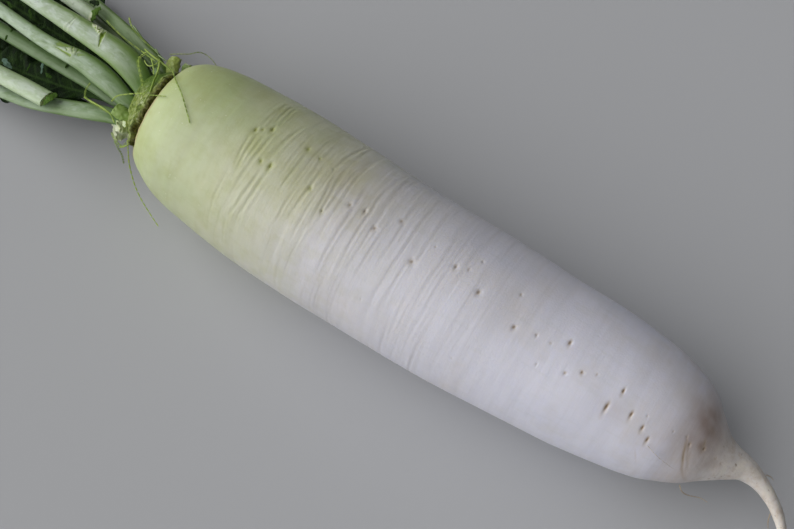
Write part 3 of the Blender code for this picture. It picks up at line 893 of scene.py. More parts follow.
# %% Layers of the daikon skin. Places are in metres here: the shoulder is at -0.13, the tail at 0.16
def cloudy(skin, colour, place, x, edge, green):
    """Olive clouds in the green, warm clouds in the white, and yellowish blotches up to the middle."""
    olive = skin.times(skin.band(skin.noise(place, 55.0, 3.0, 0.6), 0.5, 0.72), green)
    colour = skin.mix(skin.times(olive, 0.55), colour, OLIVE_CLOUD)
    warm = skin.band(skin.noise(place, 34.0, 4.0, 0.6), 0.5, 0.75, 0.0, 0.8)
    colour = skin.mix(skin.times(warm, skin.band(edge, -0.06, 0.0)), colour, WARM_WHITE)
    blotches = skin.band(skin.noise(place, 130.0, 3.0, 0.6), 0.46, 0.64, 0.0, 0.55)
    return skin.tint(skin.times(blotches, skin.band(x, 0.03, -0.04)), colour, BLOTCH_GLAZE)


def soiled_tail(skin, colour, place, x):
    """Brown and bare spots, and fine specks of soil, from the start of the tail on."""
    on_tail = skin.band(x, 0.160, 0.178)
    mottle = skin.noise(place, 190.0, 5.0, 0.68)
    colour = skin.mix(skin.times(skin.band(mottle, 0.5, 0.68, 0.0, 0.6), on_tail), colour, TAIL_DIRT)
    colour = skin.mix(skin.times(skin.band(mottle, 0.5, 0.38, 0.2, 0.8), on_tail), colour, TAIL_CLEAN)
    specks = skin.band(skin.noise(place, 520.0, 2.0, 0.5), 0.66, 0.74, 0.0, 0.6)
    return skin.mix(skin.times(specks, on_tail), colour, TAIL_SPECK)


def shaded(skin, colour, place, x, green):
    """Grey bands round the root, the tan and painted shade patches, fine streaks along it and pale specks."""
    grey = skin.band(skin.streaks(place, (150.0, 20.0, 20.0), 3.0, 0.6), 0.42, 0.7, 0.0, 0.45)
    colour = skin.tint(grey, colour, GREY_GLAZE)
    olive_tan = skin.mix(skin.band(x, -0.065, -0.035), TAN_ON_GREEN, TAN_ON_WHITE)
    # The tan patches are stains, except the two at the end of the barrel, which are painted shade.
    colour = skin.tint(skin.mark("tan"), colour, skin.mix(skin.band(x, 0.0, 0.1), olive_tan, TAN_AND_SHADE_ON_TAIL))
    # The grey patches are painted shade.
    colour = skin.tint(skin.mark("grey"), colour, SHADE_GLAZE)
    fine_streaks = skin.streaks(place, (60.0, 420.0, 420.0))
    colour = skin.tint(skin.band(fine_streaks, 0.55, 0.75, 0.0, 0.3), colour, STREAK_GLAZE)
    specks = skin.band(skin.noise(place, 520.0, 1.0, 0.4), 0.72, 0.8, 0.0, 0.5)
    return skin.mix(skin.times(specks, green), colour, PALE_SPECK)


def dried_and_shaded_rim(skin, colour, x, clouds):
    """A brown blush, and a dark brown edge darkened as painted shade in the recess where the shoulder breaks
    off at the crown.
    """
    blush = skin.times(skin.band(x, -0.1315, -0.1335), skin.band(clouds, 0.35, 0.6, 0.25, 0.9))
    colour = skin.mix(blush, colour, RIM_BLUSH)
    return skin.mix(skin.band(x, -0.1334, -0.1342, 0.0, 0.9), colour, RIM_EDGE_AND_SHADE)


def folds_and_pits(skin, colour, x, edge, green):
    """Painted shade in the folds, then soil round the pits and their dark bottoms."""
    # The folds are darkened as painted shade.
    deeper = skin.mix(green, FOLD_SHADE_ON_WHITE, FOLD_SHADE_ON_GREEN)
    colour = skin.tint(skin.times(skin.mark("fold"), 0.42), colour, deeper)
    olive_pits = skin.band(edge, -0.01, -0.06)
    brown_pits = skin.band(x, 0.05, 0.12)
    soil = skin.mix(olive_pits, skin.mix(brown_pits, SOIL_ON_WHITE, SOIL_ON_TAIL), SOIL_ON_GREEN)
    pit = skin.mix(olive_pits, skin.mix(brown_pits, PIT_ON_WHITE, PIT_ON_TAIL), PIT_ON_GREEN)
    colour = skin.mix(skin.band(skin.mark("stain"), 0.05, 0.6, 0.0, 0.9), colour, soil)
    return skin.mix(skin.band(skin.mark("stain"), 0.5, 0.9), colour, pit)


# %% Daikon skin
def daikon_skin():
    """The waxy skin of the root, green at the shoulder and white below."""
    skin = Finish("daikon_skin")
    place = skin.place()
    x, y = skin.axis(place, "X"), skin.axis(place, "Y")
    streaks = skin.streaks(place, (230.0, 16.0, 16.0), 4.0, 0.6)
    clouds = skin.noise(place, 26.0, 3.0, 0.55)
    drift = skin.plus(skin.band(streaks, 0, 1, -0.014, 0.014), skin.band(clouds, 0, 1, -0.03, 0.03))
    edge = skin.plus(skin.maths("SUBTRACT", x, skin.times(y, 0.25)), drift)
    green = skin.band(edge, -0.03, -0.11)
    colour = skin.ramp(edge, SKIN_STOPS_WITH_PAINTED_LIGHT)
    colour = cloudy(skin, colour, place, x, edge, green)
    colour = soiled_tail(skin, colour, place, x)
    colour = shaded(skin, colour, place, x, green)
    colour = dried_and_shaded_rim(skin, colour, x, clouds)
    colour = folds_and_pits(skin, colour, x, edge, green)
    skin.wet(0.0016, (1.0, 0.85, 0.6), 0.22)
    fine = skin.streaks(place, (900.0, 90.0, 90.0), 3.0, 0.6)
    pores = skin.noise(place, 900.0, 2.0, 0.5)
    relief = skin.plus(skin.times(fine, 0.7), skin.times(pores, 0.3))
    scaly = skin.times(skin.noise(place, 420.0, 4.0, 0.65), skin.band(x, 0.155, 0.18, 0.0, 2.2))
    skin.bump(skin.plus(relief, scaly), 0.00022, 0.55)
    return skin.done(colour, skin.band(streaks, 0.3, 0.7, 0.36, 0.5))


finish_piece(root, daikon_skin(), "daikon_skin", "root")

# %% [markdown]
# ## Following the stalks
#
# A leaf stalk is a bent strap with a round back and a flatter, channelled front. Each solid ends
# in two flat faces, which are the largest flat and compact groups of its triangles. The tracing
# starts at the flat face next to the crown and walks to the other one. In every section the two
# points that lie farthest apart are the edges of the stalk, and the side that bulges more is its
# back.

# %% Flat ends
TINY_AREA = 1e-12
SAME_DIRECTION = 0.9999
SAME_PLANE = 0.02 * MM
COMPACT_SHARE, COMPACT_SIZE = 0.25, 12 * MM


def flat_ends(shape):
    """Outward direction and corners of a long solid's two flat end faces, the crown end first."""
    corners, triangles = shape
    first, second, third = (corners[triangles[:, index]] for index in range(3))
    normal = np.cross(second - first, third - first)
    real = np.linalg.norm(normal, axis=1) > TINY_AREA
    triangles, first, normal = triangles[real], first[real], unit(normal[real])
    level = (normal * first).sum(axis=1)
    same = (normal @ normal.T > SAME_DIRECTION) & (np.abs(normal @ first.T - level[:, None]) < SAME_PLANE)
    compact = max(COMPACT_SHARE * np.linalg.norm(np.ptp(corners, axis=0)), COMPACT_SIZE)
    ends = []
    while len(ends) < 2:
        best = same.sum(axis=1).argmax()
        group = np.where(same[best])[0]
        outline = corners[np.unique(triangles[group])]
        same[group] = False
        same[:, group] = False
        if np.linalg.norm(np.ptp(outline, axis=0)) < compact:
            ends.append((normal[best], outline))
    return sorted(ends, key=lambda end: -end[1][:, 0].mean())


# %% Sections of stalks and leaves
INNER_SHARE, INNER_EDGE = 0.35, 0.2 * MM


def stalk_section(ring, heading):
    """Middle, outward direction, half width and the two heights of a D-shaped ring of points."""
    gaps = np.linalg.norm(ring[:, None] - ring[None], axis=2)
    one, other = np.unravel_index(gaps.argmax(), gaps.shape)
    middle = (ring[one] + ring[other]) / 2
    back = unit(np.cross(ring[one] - ring[other], heading))
    heights = (ring - middle) @ back
    if heights.max() < -heights.min():
        back, heights = -back, -heights
    return np.concatenate([middle, back, [gaps.max() / 2, heights.max(), -heights.min()]])


def leaf_section(ring, heading):
    """The same for a leaf, whose outward direction is always its upper side.

    Its thickness is taken near the midrib, because the ruffled edges would make it look thicker."""
    side = unit(np.cross(heading, (0.0, 0.0, 1.0)))
    back = np.cross(side, heading)
    origin = ring.mean(axis=0)
    across, height = (ring - origin) @ side, (ring - origin) @ back
    half = (across.max() - across.min()) / 2
    across -= (across.max() + across.min()) / 2
    middle = origin + side * ((ring - origin) @ side - across)[0]
    inner = height[np.abs(across) < INNER_SHARE * half + INNER_EDGE]
    middle = middle + back * (inner.max() + inner.min()) / 2
    thick = (inner.max() - inner.min()) / 2
    return np.concatenate([middle, back, [half, thick, thick]])


# %% Walk along a solid
MARGIN = 12.0 * MM
SECTION_REACH = 0.03
LONG_STEP, SHORT_STEP = 3.0 * MM, 0.8 * MM
LOOK_AROUND = 0.3 * MM
SMALLEST_STEP = 0.4
SMOOTHINGS = 2


def follow_solid(name, section, step):
    """Distances and sections along a solid from the crown outwards, with a margin at both ends."""
    shape = solid(name)
    (outward, outline), (stop, last_outline) = flat_ends(shape)
    heading = -outward
    line = [section(outline, heading)]
    point = line[0][:3]
    while (last_outline.mean(axis=0) - point - heading * step) @ stop > SMALLEST_STEP * step:
        point = point + heading * step
        line.append(section(cut(shape, point, heading, SECTION_REACH), heading))
        point = line[-1][:3]
        heading = unit(point - line[-2][:3])
    line = np.array(line + [section(last_outline, stop)])
    for _ in range(SMOOTHINGS):
        line[1:-1] = (line[:-2] + 2 * line[1:-1] + line[2:]) / 4
    line[:, 3:6] = unit(line[:, 3:6])
    knots = path_lengths(line[:, :3])
    before, after = line[0].copy(), line[-1].copy()
    before[:3] += outward * MARGIN
    after[:3] += stop * MARGIN
    knots = np.concatenate([[-MARGIN], knots, [knots[-1] + MARGIN]])
    return knots, np.vstack([before, line, after])


def beside(knots, line, places, across, outward):
    """Points beside a followed line, given flat arrays of distances along, across and outward."""
    middle = smooth_between(knots, line[:, :3], places)
    ahead = smooth_between(knots, line[:, :3], (places + LOOK_AROUND).clip(knots[0], knots[-1]))
    behind = smooth_between(knots, line[:, :3], (places - LOOK_AROUND).clip(knots[0], knots[-1]))
    side = unit(np.cross(ahead - behind, smooth_between(knots, line[:, 3:6], places)))
    back = unit(np.cross(side, ahead - behind))
    return middle + side * across[:, None] + back * outward[:, None]


stalk_knots, stalk_line = follow_solid("leaf_stalk_1", stalk_section, LONG_STEP)
print(f"leaf_stalk_1: {len(stalk_line)} sections along {stalk_knots[-2] / MM:.0f} mm")

# %% [markdown]
# ## The leaf stalks
#
# Most stalks are whole where they leave the crown and were cut off far out. Two snapped, and
# hang among the others with a torn end. Short stubs are left where stalks were trimmed. All of
# them are the same kind of tube: a D section with fine ribs, closed at both ends by rings that
# shrink to the middle. An end can be torn, which pulls each column of points in or out by its
# own length, or hollow, which draws the soft pith in.
#
# A scar is a stroke on the round back: a groove with two raised lips, or a raised patch of torn
# skin if its depth is negative. Strokes are given in millimetres along the stalk and from -1 to
# 1 across it, and they taper towards their second end.

# %% The grid of a stalk and its torn ends
STALK_COLUMNS = 52
END_SHARES = np.array([0.985, 0.95, 0.88, 0.76, 0.6, 0.42, 0.24, 0.1])
END_RINGS = len(END_SHARES)
END_EDGE = 0.12 * MM
EDGE_SHARE = 0.997
BUSY_CROWDING, BUSY_REACH = 2.5, 4.0
FADE = 7.0 * MM


def stalk_grid(length, sink, rings, busy):
    """Place along, share of the full section and angle for every point of a stalk, ring by ring.

    Rings are closest near the busy spots, which are given in mm, and columns on the round back."""
    def crowding(place):
        """How close together the rings stand at a place."""
        near = sum(np.exp(-(((place / MM - spot) / BUSY_REACH) ** 2)) for spot in busy)
        return 1 + BUSY_CROWDING * near.clip(0, 1)

    rows = spaced(-sink, length, rings, crowding)
    places = np.concatenate([np.full(END_RINGS, -sink), rows[:1], rows[:1] + END_EDGE, rows[1:-1],
                             rows[-1:] - END_EDGE, rows[-1:], np.full(END_RINGS, length)])
    shares = np.concatenate([END_SHARES[::-1], np.ones(len(rows) + 2), END_SHARES])
    shares[END_RINGS] = shares[-END_RINGS - 1] = EDGE_SHARE
    turns = spaced(-math.pi, math.pi, STALK_COLUMNS + 1, lambda t: 1 + 0.8 * (np.cos(t) > -0.2))[:-1]
    return np.repeat(places, STALK_COLUMNS), np.repeat(shares, STALK_COLUMNS), np.tile(turns, len(places))


def torn_ends(place, share, turns, length, sink, base, tip, seed):
    """The places after tearing and hollowing both ends, and how near each point is to an end."""
    around = columns_of(np.cos(turns), np.sin(turns), seed * 7.3)
    torn = 0.7 * lumps(around * 1.3, 21) + 0.5 * np.abs(lumps(around * 4.5, 22))
    torn += 0.25 * lumps(around * 11, 23)
    core = 1 - share**2
    rough = lumps(columns_of(np.cos(turns) * share, np.sin(turns) * share, 0) * 6 + seed, 24)
    at_tip = ((place - length + FADE) / FADE).clip(0, 1) ** 2
    at_base = ((FADE - sink - place) / FADE).clip(0, 1) ** 2

    def stick_out(ragged, hollow):
        """How far each point of an end stands out, in mm."""
        return ragged * torn - hollow * core * (share < 0.99) + 0.3 * ragged * rough * core

    place = place + at_tip * MM * stick_out(*tip) - at_base * MM * stick_out(*base)
    return place, at_base, at_tip


# %% Section and scars of a stalk
EDGE_POWER, BACK_POWER, FRONT_POWER = 0.92, 0.88, 0.8
CHANNEL_DEPTH, CHANNEL_WIDTH = 0.75, 0.55


def d_section(turns, width, back, front):
    """Distances across and outward of a D section with a channel along its flatter front."""
    sine, cosine = np.sin(turns), np.cos(turns)
    upright = np.abs(cosine)
    across = width * np.sign(sine) * np.abs(sine) ** EDGE_POWER
    outward = np.where(cosine > 0, back * upright**BACK_POWER, -front * upright**FRONT_POWER)
    channel = np.exp(-((sine / CHANNEL_WIDTH) ** 2))
    outward += (cosine < 0) * CHANNEL_DEPTH * front * upright * channel
    return across, outward


def stroke(spots, ends):
    """Distance from every (along, across) spot to a line between two ends, and the share along it."""
    start, finish = np.array(ends[:2]), np.array(ends[2:])
    run = finish - start
    share = ((spots - start) @ run / (run @ run)).clip(0, 1)
    return np.linalg.norm(spots - start - share[:, None] * run, axis=1), share


def add_scars(lift, scars, spots, on_back, half_width):
    """Adds the scars to the lift. Returns how cream and how hollow they make each point."""
    cream, hollow = np.zeros(len(spots)), np.zeros(len(spots))
    for start, start_across, end, end_across, broad, depth, lip in scars:
        off, part = stroke(spots, (start, start_across * half_width, end, end_across * half_width))
        broad = broad * (1 - 0.75 * part)
        off = off + 0.3 * broad * lumps(spots[:, [0, 1, 1]] * 1.6, 27)
        shreds = 1.0
        if depth < 0:
            off = off + 0.5 * broad * lumps(spots[:, [0, 1, 1]] * 1.1, 28)
            shreds = 1 + 0.8 * lumps(spots[:, [0, 1, 1]] * 1.8, 29)
        groove = np.exp(-((off / broad) ** 4)) * on_back
        rim = np.exp(-(((off - 1.7 * broad) / (0.8 * broad)) ** 2)) * on_back
        lift += lip * rim - depth * groove * shreds
        if depth < 0:
            cream = np.maximum(cream, groove * min(1.0, -2.2 * depth))
        else:
            cream = np.maximum(cream, rim * min(1.0, 1.6 * lip))
            hollow = np.maximum(hollow, groove * min(1.0, 2.4 * depth))
    return cream, hollow


# %% Make a stalk
MANY_RINGS = 60
LOWEST = 0.3 * MM
COARSE_CRUMBS, FINE_CRUMBS = 1.7 * MM, 0.8 * MM


def crumbled(points, seed):
    """Random shifts along all three axes, in coarse and fine crumbs."""
    coarse = [lumps(points / COARSE_CRUMBS, seed + 60 + axis) for axis in range(3)]
    fine = [lumps(points / FINE_CRUMBS, seed + 70 + axis) for axis in range(3)]
    return np.stack(coarse, axis=-1) + 0.6 * np.stack(fine, axis=-1)


def stalk(name, rings, base=(0.0, 0.0), tip=(0.25, 0.5), scars=(), sink=0.0, ribs=0.018, seed=0,
          girth=(1.0, 1.0), shift=(0.0, 0.0, 0.0), crumbs=0.0):
    """One stalk as a new piece. Base and tip say how ragged and how hollow an end is, in mm.

    Sink is how far it reaches into the crown, and ribs how high its ribs stand. Girth widens and
    thickens it, shift moves it by a few mm, and crumbs roughen its whole skin."""
    knots, line = follow_solid(name, stalk_section, LONG_STEP if rings > MANY_RINGS else SHORT_STEP)
    length = knots[-2]
    busy = [scar[i] for scar in scars for i in (0, 2)] + [4.0] + [length / MM] * (tip[0] > 1)
    place, share, turns = stalk_grid(length, sink, rings, busy)
    place, at_base, at_tip = torn_ends(place, share, turns, length, sink, base, tip, seed)
    width, back, front = smooth_between(knots, line[:, 6:9], place.clip(knots[0], knots[-1])).T
    across, outward = d_section(turns, girth[0] * width, back, front)
    outward = outward * girth[1]
    cosine = np.cos(turns)
    along, wide = place / MM, across / MM
    drift = columns_of(along / 13, wide / 6, seed)
    lift = ribs * np.sin(turns * 13 + 2.2 * lumps(drift, 25)) * np.abs(cosine) + 0.16 * lumps(drift * 1.7, 26)
    spots = np.column_stack([along, wide])
    cream, hollow = add_scars(lift, scars, spots, cosine > -0.1, line[:, 6].mean() / MM)
    outward = outward + lift * MM * share * np.where(cosine > 0, 1, -1) * np.abs(cosine) ** 0.3
    points = beside(knots, line, place, across * share, outward * share) + np.array(shift) * MM
    if crumbs:
        points += crumbled(points, seed) * crumbs * MM
    points[:, 2] = points[:, 2].clip(LOWEST)
    marks = {"grain": np.column_stack([across, place, outward]), "cream": cream, "hollow": hollow,
             "cut": (share < 0.996) * ((place > length / 2) * 1.0 + (place < length / 2) * (base[0] > 0)),
             "core": 1 - share**2,
             "torn_end": (at_tip * (tip[0] > 1) + at_base * (base[0] > 1)).clip(0, 1)}
    marks = {mark: level.reshape(-1, STALK_COLUMNS, *level.shape[1:]) for mark, level in marks.items()}
    return closed_tube(name + "_skin", points.reshape(-1, STALK_COLUMNS, 3), marks)


# %% [markdown]
# ## The stalks' finish
#
# The skin of a stalk is green, paler on its back where a thin wax bloom lies on it, and deeper
# green at the edges and the base. The pale band is shifted towards the lamp, so it is partly a
# painted highlight, and the deeper green at the edges is partly painted shade. Straight fibres
# show as fine streaks, so the noises here are stretched along the stalk, in coordinates that
# follow its bends. Cut faces show pale, wet pith with a green rim, and torn flesh is cream.

# %% Stalk skin
PITH, TORN_FLESH, HOLLOW = tone(205, 218, 178), tone(204, 214, 174), tone(124, 152, 48)
# The bloom band is shifted towards the lamp: partly real wax bloom, partly painted highlight.
SHIFT_TOWARDS_LAMP, MIDDLE_EDGE, MIDDLE_FULL = 0.0012, 0.0052, 0.0018


def waxy_green(skin, grain, streaks, bloom_and_highlight, near_base, colours):
    """Green skin that deepens at the base, under a wax bloom that is partly a painted highlight, with fine
    streaks and darker spots.
    """
    bloom, green, base_green = colours
    colour = skin.mix(bloom_and_highlight, skin.mix(near_base, green, base_green), bloom)
    colour = skin.mix(skin.band(streaks, 0.5, 0.75, 0.0, 0.15), colour, scaled(green, 0.55))
    colour = skin.mix(skin.band(streaks, 0.45, 0.28, 0.0, 0.1), colour, scaled(bloom, 1.25))
    spots = skin.streaks(grain, (500.0, 160.0, 500.0), 4.0, 0.62, 0.4)
    return skin.mix(skin.band(spots, 0.6, 0.72, 0.0, 0.4), colour, scaled(base_green, 0.6))


def open_flesh(skin, colour, cells, green, pith, rim):
    """Wet pith with a green rim on cut faces, cream flesh where it is torn, and olive hollows."""
    pith_colour = skin.mix(skin.band(skin.mark("core"), 0.25, 0.02), pith, green)
    pith_colour = skin.mix(skin.band(cells, 0.5, 0.75, 0.0, 0.5), pith_colour, scaled(pith, 0.5))
    colour = skin.mix(skin.mark("cut"), colour, pith_colour)
    colour = skin.mix(skin.band(skin.mark("torn_end"), rim, rim + 0.25, 0.0, 0.8), colour, TORN_FLESH)
    colour = skin.mix(skin.mark("cream"), colour, TORN_FLESH)
    return skin.mix(skin.band(skin.mark("hollow"), 0.2, 0.8), colour, HOLLOW)


def stalk_skin(name, colours, bloom_share, wax=(0.004, 0.026), base=(0.022, 0.002), rim=0.75, pith=PITH):
    """Waxy stalk skin from three colours: the bloom, the green at the edges and the base green.

    wax is where the bloom sets in along the stalk and base where the base colour fades out."""
    skin = Finish(name)
    grain = skin.grain()
    streaks = skin.streaks(grain, (1100.0, 24.0, 1100.0))
    broad = skin.streaks(grain, (420.0, 22.0, 420.0))
    patches = skin.streaks(grain, (300.0, 130.0, 300.0), 4.0, 0.6, 0.6)
    across, along = skin.axis(grain, "X"), skin.axis(grain, "Y")
    # Pale band on the back: wax bloom and painted highlight; the edges beside it stay deeper green as painted
    # shade.
    off_middle = skin.maths("ABSOLUTE", skin.plus(across, SHIFT_TOWARDS_LAMP))
    bloom_and_highlight = skin.times(skin.band(off_middle, MIDDLE_EDGE, MIDDLE_FULL), skin.band(along, *wax))
    bloom_and_highlight = skin.times(bloom_and_highlight, skin.band(broad, 0.25, 0.6, 0.72, 1.0))
    bloom_and_highlight = skin.times(bloom_and_highlight, skin.band(patches, 0.4, 0.6, 0.5 * bloom_share, bloom_share))
    near_base = skin.band(skin.plus(along, skin.band(patches, 0, 1, -0.006, 0.006)), *base)
    cells = skin.noise(skin.place(), 1500.0, 2.0, 0.6)
    colour = waxy_green(skin, grain, streaks, bloom_and_highlight, near_base, colours)
    colour = open_flesh(skin, colour, cells, colours[1], pith, rim)
    skin.wet(0.0012, (0.7, 1.0, 0.45), 0.12)
    skin.bump(skin.plus(skin.times(streaks, 0.6), skin.times(cells, 0.25)), 0.00012, 0.6)
    return skin.done(colour, skin.band(bloom_and_highlight, 0.0, 1.0, 0.36, 0.5))


# %% Skins: colours of the bloom, the edges and the base, how much bloom is left, and settings
SHORT = {"wax": (-0.004, -0.001), "base": (0.001, -0.002)}
# The snapped stalks' pith is paler than the usual pith, as painted light on torn ends that face away from the
# lamp.
SNAPPED = {"wax": (-0.02, -0.01), "base": (-0.02, -0.03), "rim": 0.5, "pith": tone(226, 238, 184)}
CRUMBLY = {**SHORT, "pith": tone(212, 220, 188)}
STALK_SKINS = [
    ("pale_stalk", (196, 210, 196), (120, 148, 78), (98, 130, 58), 1.0, {}),
    ("second_stalk", (182, 200, 180), (104, 134, 66), (98, 130, 62), 0.9, {}),
    ("green_stalk", (180, 198, 176), (104, 134, 70), (96, 128, 60), 0.85, {}),
    # The shaded, dark and deep stalk skins are the stalk green darkened as painted shade, for stalks that lie
    # in shade.
    ("shaded_stalk", (124, 150, 104), (92, 118, 58), (86, 114, 48), 0.8, {}),
    ("darker_shaded_stalk", (116, 142, 100), (78, 106, 52), (76, 104, 44), 0.7, {}),
    ("deepest_shaded_stalk", (86, 104, 64), (62, 80, 38), (58, 78, 32), 0.6, {}),
    ("snapped_stalk", (212, 226, 208), (160, 184, 132), (150, 174, 112), 1.0, SNAPPED),
    ("far_snapped_stalk", (184, 198, 178), (132, 154, 106), (118, 142, 84), 1.0, SNAPPED),
    ("glassy_stub", (150, 176, 106), (134, 164, 70), (126, 156, 50), 0.8, SHORT),
    ("block_stub", (158, 186, 144), (132, 164, 84), (124, 156, 60), 0.9, SHORT),
    ("olive_stub", (166, 180, 104), (152, 168, 84), (142, 158, 70), 0.7, SHORT),
    # The crumbly stub skin is much paler than the other stubs, as painted light on a body that faces away
    # from the lamp.
    ("crumbly_lit_stub", (232, 238, 206), (216, 226, 176), (196, 210, 148), 1.0, CRUMBLY),
]
stalk_skins = {}
for name, bloom, green, base_green, bloom_share, settings in STALK_SKINS:
    colours = tone(*bloom), tone(*green), tone(*base_green)
    stalk_skins[name] = stalk_skin(name + "_skin", colours, bloom_share, **settings)
print(f"stalk skins: {', '.join(stalk_skins)}")

# %% Whole stalks: skin, rings and scars (two ends, breadth, depth and height of the lips)
WHOLE_STALKS = {
    "leaf_stalk_1": ("pale_stalk", 210, [
        (41.2, 1.0, 38.4, 0.6, 1.3, -0.5, 0.0), (38.9, 0.95, 36.4, 0.5, 1.6, -0.55, 0.0),
        (36.8, 0.85, 34.6, 0.35, 1.2, -0.5, 0.0), (35.3, 1.15, 33.8, 0.95, 0.9, -0.4, 0.0),
        (34.1, 0.5, 31.4, -0.65, 1.15, 0.4, 0.12), (34.0, 0.5, 34.3, 1.05, 0.65, 0.35, 0.16),
        (37.4, 0.7, 35.8, 0.95, 0.4, 0.4, 0.1), (39.9, 0.75, 37.9, 0.45, 0.4, 0.4, 0.1),
        (36.0, 0.6, 37.0, 0.3, 0.35, 0.35, 0.1), (53.0, -0.9, 52.2, 0.8, 0.8, 0.12, 0.16)]),
    "leaf_stalk_2": ("second_stalk", 190, [
        (54.5, 0.45, 48.0, 0.75, 1.7, 0.26, 0.0), (47.2, 0.45, 44.4, 0.85, 1.3, -0.26, 0.0),
        (44.4, 0.2, 41.2, 0.75, 1.1, -0.22, 0.0), (44.8, -0.22, 56.0, -0.05, 0.8, 0.36, 0.1),
        (46.6, 0.9, 43.6, -0.1, 0.4, 0.3, 0.1), (43.2, 0.95, 42.4, 0.1, 0.4, 0.28, 0.08),
        (41.0, 0.3, 38.6, 0.7, 1.3, 0.24, 0.0), (47.8, 0.2, 50.4, 0.5, 0.4, 0.3, 0.14)]),
    "leaf_stalk_3": ("darker_shaded_stalk", 120, []),
    "leaf_stalk_4": ("green_stalk", 150, [
        (31, 0.2, 26, 0.1, 1.2, 0.12, 0.05), (22, -0.1, 9, 0.0, 0.5, 0.06, 0.08)]),
    "leaf_stalk_5": ("shaded_stalk", 130, []),
    "leaf_stalk_6": ("deepest_shaded_stalk", 110, []),
}
STALK_SINK = 2.5 * MM

for order, (name, (skin, rings, scars)) in enumerate(WHOLE_STALKS.items()):
    piece = stalk(name, rings, scars=scars, sink=STALK_SINK, seed=order)
    finish_piece(piece, stalk_skins[skin], "stalk_skin", name)

# %% Snapped stalks: skin, raggedness, extra length, girth and shift
SNAPPED_RINGS = 130
SNAPPED_STALKS = {
    "snapped_stalk_1": ("snapped_stalk", 1.0, 2.4, (1.25, 1.25), (0.0, 0.0, 0.0)),
    "snapped_stalk_2": ("far_snapped_stalk", 1.2, 2.6, (0.9, 1.1), (0.2, -1.1, -0.2)),
}

for order, (name, (skin, ragged, longer, girth, shift)) in enumerate(SNAPPED_STALKS.items(), start=10):
    piece = stalk(name, SNAPPED_RINGS, base=(ragged, 0.4), sink=longer * MM, seed=order,
                  girth=girth, shift=shift)
    finish_piece(piece, stalk_skins[skin], "stalk_skin", name)

# %% Stubs: skin, raggedness, girth, shift and crumbs
STUB_RINGS = 56
STUBS = [
    ("glassy_stub", 0.5, (1.05, 1.9), (-0.3, 2.0, 0.6), 0.25),
    ("crumbly_lit_stub", 1.0, (1.5, 2.4), (0.6, 1.2, 2.6), 0.95),
    ("olive_stub", 0.5, (1.3, 1.7), (1.8, 2.4, 1.8), 0.2),
    ("block_stub", 0.4, (1.0, 1.6), (0, 0, 0), 0.0),
    ("olive_stub", 0.8, (1.6, 2.5), (2.2, -1.0, 0.8), 0.4),
    ("glassy_stub", 1.2, (1.7, 2.8), (3.4, -2.6, 0.4), 0.5),
    ("block_stub", 0.4, (1.0, 1.4), (0, 0, 0), 0.0),
    ("block_stub", 0.4, (1.0, 1.4), (0, 0, 0), 0.0),
]

for order, (skin, ragged, girth, shift, crumbs) in enumerate(STUBS, start=1):
    name = f"stalk_stub_{order}"
    piece = stalk(name, STUB_RINGS, tip=(ragged, 0.5), sink=STALK_SINK, ribs=0.04, seed=20 + order,
                  girth=girth, shift=shift, crumbs=crumbs)
    finish_piece(piece, stalk_skins[skin], "stalk_skin", name)

# %% [markdown]
# ## The crown
#
# The crown is the short, woody stem between root and leaves. Every leaf that fell or was cut left
# a torn collar there, so it is rough all over: crumbly and cream-green, with knobs where old
# leaves sat, and olive-brown in the crevice where it meets the root, darkened there as painted
# shade. On one side the base of a leaf still clasps it like a smooth green sheath. It is built
# like the root, from rings. Low rims, large and small lumps and fine grit are added up, and the
# sheath evens them out.

# %% Profile of the crown: distance along from the start of the root, and radius, in mm
CROWN_PROFILE = np.array([(7.9, 20.8), (7.2, 23.4), (5.6, 24.8), (3.4, 24.0), (1.0, 22.0), (-1.6, 19.4),
                          (-4.4, 16.4), (-6.8, 13.8), (-8.2, 11.6)])
CROWN_RINGS, CROWN_COLUMNS = 130, 340
crown_low, crown_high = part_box("crown")
crown_middle = (crown_low + crown_high) / 2


def crown_grid():
    """Distance towards the root, radius and angle of every point of the crown before its relief."""
    knots = path_lengths(CROWN_PROFILE)
    profile = smooth_between(knots, CROWN_PROFILE, np.linspace(0, knots[-1], CROWN_RINGS))
    last = profile[-1:]
    profile = np.vstack([profile, last * [1, 0.7] - [0.4, 0], last * [1, 0.35] - [0.6, 0]])
    turns = np.tile(np.linspace(0, 2 * math.pi, CROWN_COLUMNS, endpoint=False), (len(profile), 1))
    ahead = np.repeat(profile[:, :1], CROWN_COLUMNS, axis=1)
    radius = np.repeat(profile[:, 1:], CROWN_COLUMNS, axis=1)
    hidden = hidden_side(np.degrees(turns))
    radius = radius - 5.0 * hidden * np.interp(ahead, [-8, 0, 7.9], [0.1, 0.7, 1.0])
    ahead = ahead - 4.0 * hidden * np.interp(ahead, [-8, 7.9], [0.0, 1.0])
    return ahead, radius, turns


print(f"crown: {CROWN_PROFILE[:, 1].max():.1f} mm in radius where it meets the shoulder")

# %% Relief of the crown. Knobs: distance, angle, size, height
KNOBS = [
    (1.2, 46, 3.8, 3.2), (3.0, 68, 2.6, 2.2), (-2.0, 20, 2.4, 1.3), (-3.4, 2, 2.2, 1.2), (3.6, -8, 1.3, 1.4),
    (1.4, -20, 2.0, 1.1), (4.4, 24, 1.5, 0.8), (-4.6, -34, 2.0, 1.3), (0.8, 8, 1.5, 0.9),
    (2.4, 100, 2.8, 1.3), (1.5, 140, 3.0, 1.4), (2.0, -60, 2.6, 1.3), (1.0, -100, 3.0, 1.4),
    (2.4, -150, 2.8, 1.2),
]
COLLAR_SPACING, COLLAR_TOP = 3.6, 0.72
SHEATH_ANGLE, SHEATH_SPREAD = -28.0, 29.0


